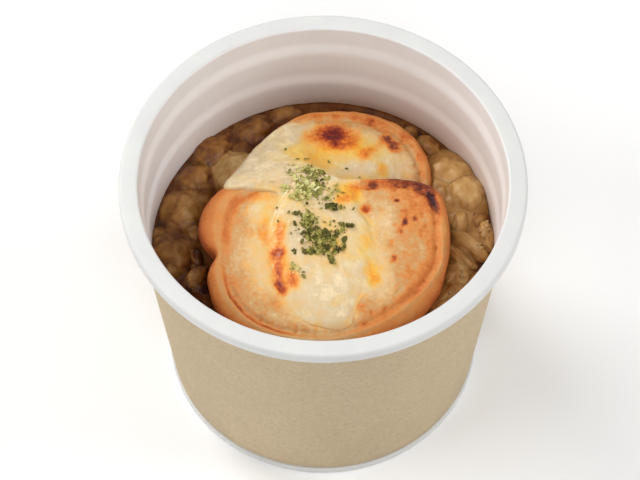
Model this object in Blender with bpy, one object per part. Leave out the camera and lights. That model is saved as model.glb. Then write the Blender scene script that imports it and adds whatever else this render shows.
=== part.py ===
"""French onion soup in a white takeaway cup with a kraft card sleeve.

Two toasted slices of a pinched-waist loaf lie in the soup, the front slice leaning on the
back one, under one melted sheet of cheese. Stewed onions are heaped along both sides of the cup.

Metres, +Z up. The origin is the middle of the cup's foot, and the front of the cup is -Y.
"""

import math

import bpy
import bmesh
from mathutils import Matrix, Vector

# Driving dimensions of the cup
CUP_HEIGHT = 0.0934
RIM_RADIUS = 0.0600
RIM_INNER_RADIUS = 0.0545
SKIRT_DROP = 0.0033          # the rim's outer edge turns down this far below its top
SKIRT_THICKNESS = 0.0010
SKIRT_FLARE = 0.0002
FOOT_RADIUS = 0.0491
FOOT_INNER_RADIUS = 0.0447   # the foot is a ring with a recess inside
FOOT_HEIGHT = 0.0024
FOOT_ROUND = 0.0004
RECESS_RADIUS = 0.0440
RECESS_ROUND = 0.0008
WALL_SLOPE = 0.09            # how much the wall's radius grows for each unit of height
WALL_THICKNESS = 0.0008
FLANGE_THICKNESS = 0.0011
FLOOR_UNDERSIDE = 0.0022
FLOOR_TOP = 0.0034
FLOOR_FILLET = 0.0030        # inside, where the wall meets the floor
LIP_ROUND = 0.0007

# Inner wall: (depth below the rim, radius) at the edges of its two stacking steps
STACKING_STEPS = [(0.0250, 0.0522), (0.0215, 0.0532), (0.0106, 0.0530), (0.0070, 0.0541)]
STRAIGHT_WALL_DEPTH = 0.0360 # the wall is a plain cone from here down

# Kraft card sleeve round the wall
SLEEVE_BOTTOM = 0.0029
SLEEVE_TOP = CUP_HEIGHT - 0.0022
SLEEVE_BOTTOM_RADIUS = 0.0486
SLEEVE_THICKNESS = 0.00045

GAP = 0.0003                 # clearance between pieces that touch

BROTH_LEVEL = 0.0575

# Onion heaps against the wall, one down each side
HEAP_BOTTOM = 0.0520
HEAP_INNER_RADIUS = 0.0365   # where the heap is widest
HEAP_END_WIDTH = 0.0020
HEAP_DIP = 0.0008            # how far below the broth the heap lies between its lumps
HEAP_CUTTER_TOP = 0.0695
HEAP_STEP = 5.0              # degrees
HEAP_ROWS = 6
LEFT_HEAP = (100, 240)       # degrees round the cup, from +X
RIGHT_HEAP = (-60, 60)

# Toasted slices: rings of the crust from the underside up, as (share of the bulge, share of the
# thickness), then the shallow groove just inside the crust's edge
CRUST_RINGS = [(-0.20, -1.0), (0.60, -0.88), (1.0, -0.55), (0.94, -0.28), (0.68, -0.09), (0.15, 0.0)]
CRUST_UNDERSIDE = -0.8       # rings below this share of the thickness belong to the underside
CRUST_SHOULDER = -0.2        # rings above this share belong to the cut face's edge
UNDERSIDE_INSET = 0.0012
SLICE_THICKNESS = 0.0120
GROOVE_INSET = 0.0016
GROOVE_DEPTH = 0.0006
FACE_FLAT_SHARE = 0.80

CHEESE_THICKNESS = 0.0018
CHEESE_EDGE = 0.0006
CHEESE_MIDDLE = (-0.0030, 0.0160)
CHEESE_OVERHANG = 0.0022     # how far past the front slice's edge its ramp down starts
CHEESE_RAMP = 1.4            # steepness of that ramp
CHEESE_RAMP_ROUND = 0.0020
CHEESE_BLEND = 0.0030        # height over which it turns from one slice onto the other

TURN_SEGMENTS = 64
SLICE_SEGMENTS = 54
CHEESE_SEGMENTS = 50
CHEESE_RINGS = 8

WHITE_PLASTIC = ((0.86, 0.86, 0.85), 0.42)
KRAFT_CARD = ((0.52, 0.43, 0.31), 0.85)
BROTH_BROWN = ((0.16, 0.07, 0.02), 0.15)
ONION_TAN = ((0.42, 0.24, 0.09), 0.30)
TOAST_GOLD = ((0.75, 0.46, 0.20), 0.70)
CHEESE_CREAM = ((0.88, 0.74, 0.46), 0.32)


def material(name, finish):
    colour, roughness = finish
    result = bpy.data.materials.new(name)
    result.use_nodes = True
    shader = result.node_tree.nodes["Principled BSDF"]
    shader.inputs["Base Color"].default_value = (*colour, 1.0)
    shader.inputs["Roughness"].default_value = roughness
    shader.inputs["Metallic"].default_value = 0.0
    return result


def add_object(name, vertices, faces, finish=None):
    mesh = bpy.data.meshes.new(name)
    mesh.from_pydata([tuple(v) for v in vertices], [], faces)
    mesh.update()
    item = bpy.data.objects.new(name, mesh)
    bpy.context.scene.collection.objects.link(item)
    if finish:
        mesh.materials.append(material(name + "_finish", finish))
        mesh.shade_smooth()
        mesh.set_sharp_from_angle(angle=math.radians(35))
    else:
        item.hide_render = True
        item.display_type = "WIRE"
    return item


def ring_faces(lower, upper, count):
    """Quads between two rings, given by the index of each ring's first point."""
    return [(lower + i, lower + (i + 1) % count, upper + (i + 1) % count, upper + i) for i in range(count)]


def stack_of_rings(rings, bottom_pole, top_pole):
    """Closed skin over rings that run from the bottom to the top, with a pole point at each end."""
    count = len(rings[0])
    vertices = [point for ring in rings for point in ring]
    faces = []
    for level in range(len(rings) - 1):
        faces += ring_faces(level * count, (level + 1) * count, count)
    last = (len(rings) - 1) * count
    vertices += [bottom_pole, top_pole]
    faces += [(len(vertices) - 2, (i + 1) % count, i) for i in range(count)]
    faces += [(len(vertices) - 1, last + i, last + (i + 1) % count) for i in range(count)]
    return vertices, faces


def circle(radius, height):
    turns = [2 * math.pi * i / TURN_SEGMENTS for i in range(TURN_SEGMENTS)]
    return [Vector((radius * math.cos(a), radius * math.sin(a), height)) for a in turns]


def turned_solid(name, profile, finish):
    """Solid of revolution whose profile starts and ends on the axis."""
    rings = [circle(radius, height) for radius, height in profile[1:-1]]
    vertices, faces = stack_of_rings(rings, Vector((0, 0, profile[0][1])), Vector((0, 0, profile[-1][1])))
    return add_object(name, vertices, faces, finish)


def turned_tube(name, profile, finish):
    """Ring-shaped solid of revolution whose profile is a closed loop, outer side going up."""
    vertices = [point for radius, height in profile for point in circle(radius, height)]
    faces = []
    for level in range(len(profile)):
        following = (level + 1) % len(profile)
        faces += ring_faces(level * TURN_SEGMENTS, following * TURN_SEGMENTS, TURN_SEGMENTS)
    return add_object(name, vertices, faces, finish)


def sleeve_radius(height):
    return SLEEVE_BOTTOM_RADIUS + WALL_SLOPE * (height - SLEEVE_BOTTOM)


def wall_radius(height):
    """Outer radius of the cup's wall, which backs the sleeve all the way up."""
    return sleeve_radius(height) - SLEEVE_THICKNESS - GAP


def inner_radius(height):
    """Inner radius of the cup's wall below the stacking steps."""
    return wall_radius(height) - WALL_THICKNESS


def fillet(corner, radius, start_angle, end_angle, steps):
    """Points of an arc round a centre at corner, in the plane of the profile."""
    angles = [math.radians(start_angle + (end_angle - start_angle) * i / steps) for i in range(steps + 1)]
    return [(corner[0] + radius * math.cos(a), corner[1] + radius * math.sin(a)) for a in angles]


def cup_inner_profile(clearance, top):
    """Inner wall from the floor up to the height top, moved inwards by the clearance."""
    corner_height = FLOOR_TOP + FLOOR_FILLET
    corner = (inner_radius(corner_height) - FLOOR_FILLET, corner_height)
    points = fillet(corner, FLOOR_FILLET - clearance, -90, 0, 3)
    straight_top = CUP_HEIGHT - STRAIGHT_WALL_DEPTH
    wall = [(inner_radius(straight_top), straight_top)]
    wall += [(radius, CUP_HEIGHT - depth) for depth, radius in STACKING_STEPS]
    shortest_stretch = 0.0010
    points += [(radius - clearance, height) for radius, height in wall if height < top - shortest_stretch]
    return points


def build_cup():
    flange_underside = CUP_HEIGHT - FLANGE_THICKNESS
    skirt_bottom = CUP_HEIGHT - SKIRT_DROP
    skirt_inner = RIM_RADIUS - SKIRT_THICKNESS
    lip_centre = CUP_HEIGHT - LIP_ROUND
    profile = [(0, FLOOR_UNDERSIDE), (RECESS_RADIUS - RECESS_ROUND, FLOOR_UNDERSIDE)]
    profile += [(RECESS_RADIUS, FLOOR_UNDERSIDE - RECESS_ROUND), (FOOT_INNER_RADIUS, 0)]
    profile += [(FOOT_RADIUS - FOOT_ROUND, 0), (FOOT_RADIUS, FOOT_ROUND)]
    profile += [(FOOT_RADIUS, FOOT_HEIGHT - FOOT_ROUND), (FOOT_RADIUS - FOOT_ROUND, FOOT_HEIGHT)]
    profile += [(wall_radius(FOOT_HEIGHT), FOOT_HEIGHT), (wall_radius(flange_underside), flange_underside)]
    profile += [(skirt_inner, flange_underside), (skirt_inner, skirt_bottom)]
    profile.append((RIM_RADIUS + SKIRT_FLARE, skirt_bottom))
    profile += fillet((RIM_RADIUS - LIP_ROUND, lip_centre), LIP_ROUND, 0, 90, 2)
    profile += fillet((RIM_INNER_RADIUS + LIP_ROUND, lip_centre), LIP_ROUND, 90, 180, 2)
    profile += list(reversed(cup_inner_profile(0, CUP_HEIGHT)))
    profile.append((0, FLOOR_TOP))
    return turned_solid("cup", profile, WHITE_PLASTIC)


def build_sleeve():
    profile = [(sleeve_radius(SLEEVE_BOTTOM), SLEEVE_BOTTOM), (sleeve_radius(SLEEVE_TOP), SLEEVE_TOP)]
    profile += [(radius - SLEEVE_THICKNESS, height) for radius, height in reversed(profile)]
    return turned_tube("sleeve", profile, KRAFT_CARD)


class Slice:
    """A toasted slice, placed by its cut face's middle and tilted about X so that its rear is higher.

    The cut face is a superellipse in each quarter: halves are its half widths to the right, rear,
    left and front, and powers are the quarters' powers from the rear right round to the front right.
    A chord, as (direction, distance), cuts one corner straight. The crust bulges out by flare below
    the face's edge. Each lobe, as (direction, width, height), adds to that bulge, and each waist, as
    (direction, width, depth), pinches it. Directions and widths are in degrees.
    """

    def __init__(self, middle, slope, halves, powers, flare, waists, lobes=(), chord=None):
        self.middle = Vector(middle)
        self.slope = slope
        self.halves = halves
        self.powers = powers
        self.flare = flare
        self.waists = waists
        self.lobes = lobes
        self.chord = chord

    def face_radius(self, angle):
        """Distance from the middle to the edge of the cut face in the direction of the angle."""
        right, rear, left, front = self.halves
        rear_right, rear_left, front_left, front_right = self.powers
        across, along = math.cos(angle), math.sin(angle)
        half_width = right if across > 0 else left
        half_depth = rear if along > 0 else front
        if along > 0:
            power = rear_right if across > 0 else rear_left
        else:
            power = front_right if across > 0 else front_left
        radius = (abs(across / half_width) ** power + abs(along / half_depth) ** power) ** (-1 / power)
        if self.chord:
            chord_angle, chord_distance = self.chord
            facing = math.cos(angle - chord_angle)
            if facing > 0:
                radius = min(radius, chord_distance / facing)
        return radius

    def bulge(self, angle):
        """How far the crust stands out below the edge of the cut face."""
        def nearness(direction, width):
            turn = (angle - math.radians(direction) + math.pi) % math.tau - math.pi
            return math.exp(-(math.degrees(turn) / width) ** 2)

        result = self.flare
        for direction, width, height in self.lobes:
            result += height * nearness(direction, width)
        for direction, width, depth in self.waists:
            result *= 1 - depth * nearness(direction, width)
        return result

    def place(self):
        return Matrix.Translation(self.middle) @ Matrix.Rotation(math.atan(self.slope), 4, "X")

    def rings(self, grow):
        """Rings from the underside up over the crust to the cut face, each grown outwards."""
        turns = [math.tau * i / SLICE_SEGMENTS for i in range(SLICE_SEGMENTS)]
        levels = []
        for share, drop in CRUST_RINGS:
            height = drop * SLICE_THICKNESS
            inset = -grow
            if drop < CRUST_UNDERSIDE:
                height -= grow
                inset += UNDERSIDE_INSET
            elif drop > CRUST_SHOULDER:
                height += grow
            levels.append([(a, self.face_radius(a) + share * self.bulge(a) - inset, height) for a in turns])
        levels.append([(a, self.face_radius(a) - GROOVE_INSET, grow - GROOVE_DEPTH) for a in turns])
        levels.append([(a, self.face_radius(a) * FACE_FLAT_SHARE, grow) for a in turns])
        placed = self.place()
        return [[placed @ Vector((r * math.cos(a), r * math.sin(a), z)) for a, r, z in level] for level in levels]

    def build(self, name, finish=None, grow=0.0):
        placed = self.place()
        below = placed @ Vector((0, 0, -SLICE_THICKNESS - grow))
        above = placed @ Vector((0, 0, grow))
        vertices, faces = stack_of_rings(self.rings(grow), below, above)
        return add_object(name, vertices, faces, finish)

    def plane_height(self, x, y):
        """Height of the cut face's plane."""
        return self.middle.z + self.slope * (y - self.middle.y)

    def outside(self, x, y):
        """Distance of a point beyond the edge of the cut face, below zero over the face."""
        across = x - self.middle.x
        along = (y - self.middle.y) * math.hypot(1, self.slope)
        return math.hypot(across, along) - self.face_radius(math.atan2(along, across))


BACK_SLICE = Slice(
    middle=(0.0015, 0.0155, 0.0626),
    slope=0.21,
    halves=(0.0308, 0.0262, 0.0315, 0.0255),
    powers=(2.5, 2.5, 2.5, 2.5),
    flare=0.0018,
    waists=[(90, 40, 0.35), (180, 8, 0.70), (-4, 12, 0.70)],
    chord=(math.radians(135), 0.0247),
)

FRONT_SLICE = Slice(
    middle=(0.0010, -0.0128, 0.0713),
    slope=0.12,
    halves=(0.0342, 0.0258, 0.0320, 0.0258),
    powers=(6.0, 4.0, 2.5, 1.65),
    flare=0.0036,
    waists=[(90, 40, 0.35), (179, 6, 0.85), (0, 12, 0.80)],
    lobes=[(160, 22, 0.0044)],
)

# Onion lumps: direction round the cup in degrees, distance from its axis, top, and size
LEFT_ONIONS = [
    (112, 0.0470, 0.0596, 0.0085), (124, 0.0405, 0.0600, 0.0070), (136, 0.0462, 0.0612, 0.0085),
    (138, 0.0375, 0.0632, 0.0090), (151, 0.0448, 0.0616, 0.0080), (167, 0.0432, 0.0626, 0.0095),
    (183, 0.0453, 0.0618, 0.0100), (194, 0.0451, 0.0606, 0.0085), (202, 0.0405, 0.0604, 0.0065),
    (206, 0.0460, 0.0606, 0.0080), (221, 0.0450, 0.0598, 0.0080),
]
RIGHT_ONIONS = [
    (47, 0.0455, 0.0605, 0.0075), (32, 0.0425, 0.0632, 0.0085), (22, 0.0462, 0.0652, 0.0100),
    (8, 0.0440, 0.0622, 0.0080), (-4, 0.0462, 0.0624, 0.0090), (-16, 0.0430, 0.0612, 0.0080),
    (-25, 0.0455, 0.0608, 0.0085), (-37, 0.0435, 0.0604, 0.0085), (-50, 0.0450, 0.0596, 0.0080),
]


def lump_height(lumps, x, y):
    """Uneven top of a heap: the highest rounded lump over a point, or just below the broth."""
    base = BROTH_LEVEL - HEAP_DIP
    height = base
    for direction, distance, top, size in lumps:
        lump_x = distance * math.cos(math.radians(direction))
        lump_y = distance * math.sin(math.radians(direction))
        away = math.hypot(x - lump_x, y - lump_y) / size
        if away < 1:
            height = max(height, base + (top - base) * math.sqrt(1 - away * away))
    return height


def build_heap(name, ends, lumps, finish=None, grow=0.0):
    """Crescent of onions against the wall, between two directions round the cup.

    A grown heap is a cutter: it stands clear of the lumps and reaches into the wall.
    """
    start, end = ends
    steps = round((end - start) / HEAP_STEP)
    wall = inner_radius(BROTH_LEVEL) - GAP
    taper = (inner_radius(HEAP_BOTTOM) - GAP) / wall
    outer = wall + 5 * grow
    widest = wall - HEAP_END_WIDTH - HEAP_INNER_RADIUS
    bottom, top = [], []
    for i in range(steps + 1):
        fullness = (1 - abs(2 * i / steps - 1) ** 4) ** 0.5
        inner = wall - HEAP_END_WIDTH - widest * fullness - grow
        past_end = grow / wall * (-1 if i == 0 else 1 if i == steps else 0)
        angle = math.radians(start + HEAP_STEP * i) + past_end
        for j in range(HEAP_ROWS + 1):
            radius = outer + (inner - outer) * j / HEAP_ROWS
            x = radius * math.cos(angle)
            y = radius * math.sin(angle)
            height = HEAP_CUTTER_TOP if grow else lump_height(lumps, x, y)
            bottom.append(Vector((x * taper, y * taper, HEAP_BOTTOM - grow)))
            top.append(Vector((x, y, height)))
    count = HEAP_ROWS + 1
    offset = len(bottom)
    faces = []
    for i in range(steps):
        for j in range(HEAP_ROWS):
            corners = (i * count + j, i * count + j + 1, (i + 1) * count + j + 1, (i + 1) * count + j)
            faces.append(corners)
            faces.append(tuple(offset + c for c in reversed(corners)))
    border = list(range(count))
    border += [i * count + HEAP_ROWS for i in range(1, steps + 1)]
    border += [steps * count + j for j in range(HEAP_ROWS - 1, -1, -1)]
    border += [i * count for i in range(steps - 1, 0, -1)]
    for a, b in zip(border, border[1:] + border[:1]):
        faces.append((b, a, offset + a, offset + b))
    return add_object(name, bottom + top, faces, finish)


def build_broth():
    """Broth from the cup's floor up to its level."""
    profile = [(0, FLOOR_TOP + GAP)] + cup_inner_profile(GAP, BROTH_LEVEL)
    profile += [(inner_radius(BROTH_LEVEL) - GAP, BROTH_LEVEL), (0, BROTH_LEVEL)]
    return turned_solid("broth", profile, BROTH_BROWN)


def cut(item, cutters):
    """Cut the item clear of the cutters and drop the crumbs that the cuts leave loose."""
    for cutter in cutters:
        modifier = item.modifiers.new("clear_of_" + cutter.name, "BOOLEAN")
        modifier.operation = "DIFFERENCE"
        modifier.solver = "EXACT"
        modifier.object = cutter
    view = bpy.context.evaluated_depsgraph_get()
    shape = bmesh.new()
    shape.from_mesh(item.evaluated_get(view).to_mesh())
    item.modifiers.clear()
    bodies = []
    unseen = set(shape.verts)
    while unseen:
        body, edge_of_body = set(), [unseen.pop()]
        while edge_of_body:
            vertex = edge_of_body.pop()
            body.add(vertex)
            near = {edge.other_vert(vertex) for edge in vertex.link_edges} & unseen
            unseen -= near
            edge_of_body += near
        bodies.append(body)
    largest = max(bodies, key=len)
    crumbs = [vertex for body in bodies if body is not largest for vertex in body]
    bmesh.ops.delete(shape, geom=crumbs, context="VERTS")
    shape.to_mesh(item.data)
    shape.free()


# Edge of the melted cheese in plan, anticlockwise from the tip of its tongue at the front
CHEESE_EDGE_POINTS = [
    (0.0020, -0.0366), (0.0095, -0.0348), (0.0100, -0.0295), (0.0150, -0.0220), (0.0166, -0.0137),
    (0.0155, -0.0055), (0.0126, 0.0022), (0.0086, 0.0082), (0.0088, 0.0140), (0.0220, 0.0202),
    (0.0214, 0.0255), (0.0180, 0.0308), (0.0110, 0.0360), (0.0025, 0.0380), (-0.0060, 0.0372),
    (-0.0125, 0.0348), (-0.0180, 0.0316), (-0.0245, 0.0250), (-0.0310, 0.0184), (-0.0255, 0.0115),
    (-0.0202, 0.0040), (-0.0188, -0.0065), (-0.0165, -0.0150), (-0.0135, -0.0240), (-0.0070, -0.0330),
]


def closed_curve(points, samples):
    """Evenly numbered points of a smooth closed curve through the given points."""
    curve = []
    for k in range(samples):
        at = k * len(points) / samples
        i = int(at)
        t = at - i
        p0, p1, p2, p3 = (Vector(points[(i + shift) % len(points)]) for shift in (-1, 0, 1, 2))
        linear = (p2 - p0) * t
        square = (2 * p0 - 5 * p1 + 4 * p2 - p3) * t * t
        cube = (3 * p1 - p0 - 3 * p2 + p3) * t * t * t
        curve.append((2 * p1 + linear + square + cube) / 2)
    return curve


def smooth_larger(first, second, softness):
    """The larger of two heights, rounded where they cross."""
    overlap = max(softness - abs(first - second), 0) / softness
    return max(first, second) + overlap * overlap * softness / 4


def cheese_rest_height(x, y):
    """Underside of the cheese: flat on each slice, with a ramp down from the front slice's edge."""
    outside = max(FRONT_SLICE.outside(x, y) - CHEESE_OVERHANG, 0)
    ramp = CHEESE_RAMP * outside * outside / (outside + CHEESE_RAMP_ROUND)
    on_front = FRONT_SLICE.plane_height(x, y) - ramp
    return smooth_larger(on_front, BACK_SLICE.plane_height(x, y), CHEESE_BLEND) + GAP


def build_cheese():
    """Melted sheet draped over both slices, thickest in the middle and thin at its edge."""
    middle = Vector(CHEESE_MIDDLE)
    outline = closed_curve(CHEESE_EDGE_POINTS, CHEESE_SEGMENTS)
    lower, upper = [], []
    for k in range(1, CHEESE_RINGS + 1):
        share = k / CHEESE_RINGS
        thickness = CHEESE_EDGE + (CHEESE_THICKNESS - CHEESE_EDGE) * math.sqrt(1 - share ** 4)
        flat = [middle + (point - middle) * share for point in outline]
        base = [Vector((p.x, p.y, cheese_rest_height(p.x, p.y))) for p in flat]
        lower.append(base)
        upper.append([p + Vector((0, 0, thickness)) for p in base])
    below = Vector((*middle, cheese_rest_height(*middle)))
    above = below + Vector((0, 0, CHEESE_THICKNESS))
    vertices, faces = stack_of_rings(lower + upper[::-1], below, above)
    return add_object("cheese", vertices, faces, CHEESE_CREAM)


def main():
    for item in list(bpy.data.objects):
        bpy.data.objects.remove(item, do_unlink=True)
    build_cup()
    build_sleeve()
    BACK_SLICE.build("bread_back", TOAST_GOLD)
    FRONT_SLICE.build("bread_front", TOAST_GOLD)
    slice_cutters = [
        BACK_SLICE.build("back_slice_cutter", grow=GAP),
        FRONT_SLICE.build("front_slice_cutter", grow=GAP),
    ]
    heap_cutters = [
        build_heap("left_heap_cutter", LEFT_HEAP, LEFT_ONIONS, grow=GAP),
        build_heap("right_heap_cutter", RIGHT_HEAP, RIGHT_ONIONS, grow=GAP),
    ]
    cut(build_heap("onions_left", LEFT_HEAP, LEFT_ONIONS, ONION_TAN), slice_cutters)
    cut(build_heap("onions_right", RIGHT_HEAP, RIGHT_ONIONS, ONION_TAN), slice_cutters)
    cut(build_broth(), heap_cutters + slice_cutters)
    build_cheese()


main()
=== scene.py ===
"""Looks of a french onion soup in a takeaway cup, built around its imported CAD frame.

Metres, +Z up, the front of the cup at -Y. Tables of features on the food are in millimetres.
"""

import math
import random
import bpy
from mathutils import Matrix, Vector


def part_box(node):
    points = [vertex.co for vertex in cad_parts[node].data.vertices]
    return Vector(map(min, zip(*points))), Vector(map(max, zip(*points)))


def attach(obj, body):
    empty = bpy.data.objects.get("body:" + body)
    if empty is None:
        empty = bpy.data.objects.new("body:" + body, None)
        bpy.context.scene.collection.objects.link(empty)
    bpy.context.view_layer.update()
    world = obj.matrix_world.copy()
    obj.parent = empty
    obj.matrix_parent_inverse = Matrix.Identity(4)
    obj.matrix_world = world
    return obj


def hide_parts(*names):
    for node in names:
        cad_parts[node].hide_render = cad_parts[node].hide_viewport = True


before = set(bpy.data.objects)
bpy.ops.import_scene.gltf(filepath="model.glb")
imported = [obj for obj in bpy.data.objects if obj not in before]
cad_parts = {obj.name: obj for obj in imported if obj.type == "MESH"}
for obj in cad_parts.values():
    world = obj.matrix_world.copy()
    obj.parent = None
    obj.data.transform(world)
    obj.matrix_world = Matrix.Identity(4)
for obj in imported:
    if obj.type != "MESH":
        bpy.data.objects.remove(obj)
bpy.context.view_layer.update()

from types import SimpleNamespace

import bpy
import numpy as np
from mathutils import Matrix, Vector, noise
from mathutils.bvhtree import BVHTree

MM = 0.001

# Sizes of the cup and its contents, from the frame
CUP_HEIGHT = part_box("cup")[1].z
RIM_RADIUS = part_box("cup")[1].x
SLEEVE_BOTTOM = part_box("sleeve")[0].z
SLEEVE_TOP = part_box("sleeve")[1].z
SLEEVE_TOP_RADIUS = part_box("sleeve")[1].x
BROTH_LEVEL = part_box("broth")[1].z
HEAP_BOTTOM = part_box("onions_left")[0].z

# The rest of the shape, as in the CAD
WALL_SLOPE = 0.09
SLEEVE_THICKNESS = 0.00045
WALL_THICKNESS = 0.0008
CLEARANCE = 0.0003           # between pieces that fit into each other
RIM_INNER_RADIUS = 0.0545
SLICE_THICKNESS = 0.0120

TURN_SEGMENTS = 240


# --------------------------------------------------------------- shape helpers

def smooth_step(low, high, value):
    share = np.clip((value - low) / (high - low), 0, 1)
    return share * share * (3 - 2 * share)


def bell(value, middle, width):
    """From 1 at the middle to 0 well away from it."""
    return np.exp(-((value - middle) / width) ** 2)


def nearness(angle, direction, width):
    """From 1 at a direction in degrees to 0 well away from it."""
    turn = (angle - math.radians(direction) + math.pi) % math.tau - math.pi
    return bell(np.degrees(turn), 0, width)


def smaller(first, second, blend):
    """The smaller of two values, rounded off where they meet."""
    overlap = np.maximum(blend - np.abs(first - second), 0) / blend
    return np.minimum(first, second) - overlap * overlap * blend / 4


def larger(first, second, blend):
    return -smaller(-first, -second, blend)


def noise_at(points, size, octaves=1, seed=0):
    """Smooth noise from about -1 to 1 at each point, with features of this size."""
    shift = Vector((17.3, 5.1, 9.7)) * (seed + 1)
    return np.array([noise.fractal(Vector(p) / size + shift, 1.0, 2.0, octaves) for p in points])


def plan_noise(x, y, size, octaves, seed):
    return noise_at(np.column_stack((x, y, np.zeros(len(x)))), size, octaves, seed)


def catmull_rom(values, t):
    """Point of a smooth curve between the second and the third of four values."""
    p0, p1, p2, p3 = values
    cubic = (3 * p1 - p0 - 3 * p2 + p3) * t ** 3
    return (2 * p1 + (p2 - p0) * t + (2 * p0 - 5 * p1 + 4 * p2 - p3) * t * t + cubic) / 2


def curve_point(points, at):
    """Point of a smooth open curve through the given points, this many of them along it."""
    last = len(points) - 1
    i = min(int(at), last - 1)
    around = [points[min(max(i + shift, 0), last)] for shift in (-1, 0, 1, 2)]
    return [catmull_rom([p[axis] for p in around], at - i) for axis in (0, 1)]


def closed_curve(points, samples):
    """Points of a smooth closed curve through the given points."""
    looped = points[-1:] + points + points[:2]
    return np.array([curve_point(looped, 1 + k * len(points) / samples) for k in range(samples)])


def rounded_profile(corners):
    """Profile through (radius, height, rounding) corners, each rounded by an arc."""
    steps, nearly_straight = 6, math.radians(89)
    points = [corners[0][:2]]
    for before, (*corner, rounding), after in zip(corners, corners[1:], corners[2:]):
        here = np.array(corner)
        back, ahead = np.array(before[:2]) - here, np.array(after[:2]) - here
        back, ahead = back / np.linalg.norm(back), ahead / np.linalg.norm(ahead)
        half_angle = math.acos(np.clip(np.dot(back, ahead), -1, 1)) / 2
        if rounding == 0 or half_angle > nearly_straight:
            points.append(tuple(here))
            continue
        centre = here + (back + ahead) / np.linalg.norm(back + ahead) * rounding / math.sin(half_angle)
        start, end = (here + side * rounding / math.tan(half_angle) - centre for side in (back, ahead))
        for share in np.linspace(0, 1, steps + 1):
            mixed = start * (1 - share) + end * share
            points.append(tuple(centre + mixed / np.linalg.norm(mixed) * rounding))
    points.append(corners[-1][:2])
    return points


def full_turn(segments):
    return np.arange(segments) * math.tau / segments


def ring(radius, turns, height):
    """Points round the axis, with one radius for all or one for each."""
    return np.column_stack((radius * np.cos(turns), radius * np.sin(turns), np.full(len(turns), height)))


def turned(profile, segments=TURN_SEGMENTS):
    """Rings of a solid of revolution."""
    return [ring(radius, full_turn(segments), height) for radius, height in profile]


def spot(direction, distance):
    """Place in plan in a direction in degrees, this far from the cup's axis."""
    return np.array((math.cos(math.radians(direction)), math.sin(math.radians(direction)))) * distance


# ---------------------------------------------------------------- mesh helpers

def mesh_piece(name, points, faces, material):
    """A smooth-shaded piece of the object that rides on the cup's body."""
    mesh = bpy.data.meshes.new(name)
    mesh.from_pydata([tuple(p) for p in points], [], faces)
    mesh.shade_smooth()
    mesh.materials.append(material)
    piece = bpy.data.objects.new(name, mesh)
    bpy.context.scene.collection.objects.link(piece)
    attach(piece, "root")
    return piece


class Joined:
    """Many small shapes joined into one piece, with a shade at each point."""

    def __init__(self):
        self.points = []
        self.faces = []
        self.shades = []
        self.count = 0

    def add(self, points, faces, shade=0.0):
        self.faces += [tuple(self.count + corner for corner in face) for face in faces]
        self.points.append(points)
        self.shades.append(shade + np.zeros(len(points)))
        self.count += len(points)

    def piece(self, name, slot, material):
        return mesh_piece(name, np.vstack(self.points), self.faces, material)


def ring_skin(levels, closed_profile=False):
    """Faces over rings of points, from the lowest ring up its outer side.

    With an open profile, the first and the last ring are capped by a pole each, and the poles'
    points come after the rings' points.
    """
    count, last = len(levels[0]), len(levels) - 1
    sides = [(i, (i + 1) % count) for i in range(count)]
    faces = []
    for level in range(last + closed_profile):
        lower, upper = level * count, (level + 1) % (last + 1) * count
        faces += [(lower + i, lower + j, upper + j, upper + i) for i, j in sides]
    if not closed_profile:
        top, first_pole = last * count, (last + 1) * count
        faces += [(first_pole, j, i) for i, j in sides]
        faces += [(first_pole + 1, top + i, top + j) for i, j in sides]
    return faces


def slab_skin(steps, rows):
    """Faces of a closed slab between two grids of points, the lower grid's points first."""
    count, offset = rows + 1, (steps + 1) * (rows + 1)
    faces = []
    for i in range(steps):
        for j in range(rows):
            corners = (i * count + j, i * count + j + 1, (i + 1) * count + j + 1, (i + 1) * count + j)
            faces += [corners, tuple(offset + corner for corner in reversed(corners))]
    border = list(range(count))
    border += [i * count + rows for i in range(1, steps + 1)]
    border += [steps * count + j for j in range(rows - 1, -1, -1)]
    border += [i * count for i in range(steps - 1, 0, -1)]
    return faces + [(b, a, offset + a, offset + b) for a, b in zip(border, border[1:] + border[:1])]


def paint(piece, name, values):
    """Store one number for each vertex, for the material to read."""
    layer = piece.data.attributes.new(name, "FLOAT", "POINT")
    layer.data.foreach_set("value", np.asarray(values, dtype=np.float32))


def mesh_normals(points, faces):
    """Normal of each vertex of a mesh."""
    probe = bpy.data.meshes.new("probe")
    probe.from_pydata([tuple(p) for p in points], [], faces)
    normals = np.zeros(len(points) * 3)
    probe.vertex_normals.foreach_get("vector", normals)
    bpy.data.meshes.remove(probe)
    return normals.reshape(-1, 3)


def tree_of(piece):
    mesh = piece.data
    return BVHTree.FromPolygons([v.co for v in mesh.vertices], [p.vertices for p in mesh.polygons])


def drop_on(trees, x, y):
    """Place and normal where a point dropped in plan lands on the highest of several surfaces."""
    best = None
    for tree in trees:
        hit, normal, _, _ = tree.ray_cast(Vector((x, y, CUP_HEIGHT)), Vector((0, 0, -1)))
        if hit and (best is None or hit.z > best[0].z):
            best = (hit, normal)
    return best


# ------------------------------------------------------------ material helpers

def srgb(red, green, blue):
    """Linear colour of an ordinary 0 to 255 colour."""
    def linear(value):
        value /= 255
        return value / 12.92 if value <= 0.04045 else ((value + 0.055) / 1.055) ** 2.4

    return (linear(red), linear(green), linear(blue), 1.0)


def new_material(name, **constants):
    """A material and its Principled shader, with the named sockets set to constant values."""
    result = bpy.data.materials.new(name)
    result.use_nodes = True
    shader = result.node_tree.nodes["Principled BSDF"]
    for socket, value in constants.items():
        shader.inputs[socket.replace("_", " ")].default_value = value
    return result, shader


def feed(socket, value):
    """Link another socket into this one, or set it to a value."""
    if isinstance(value, bpy.types.NodeSocket):
        socket.id_data.links.new(value, socket)
    else:
        socket.default_value = value


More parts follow.
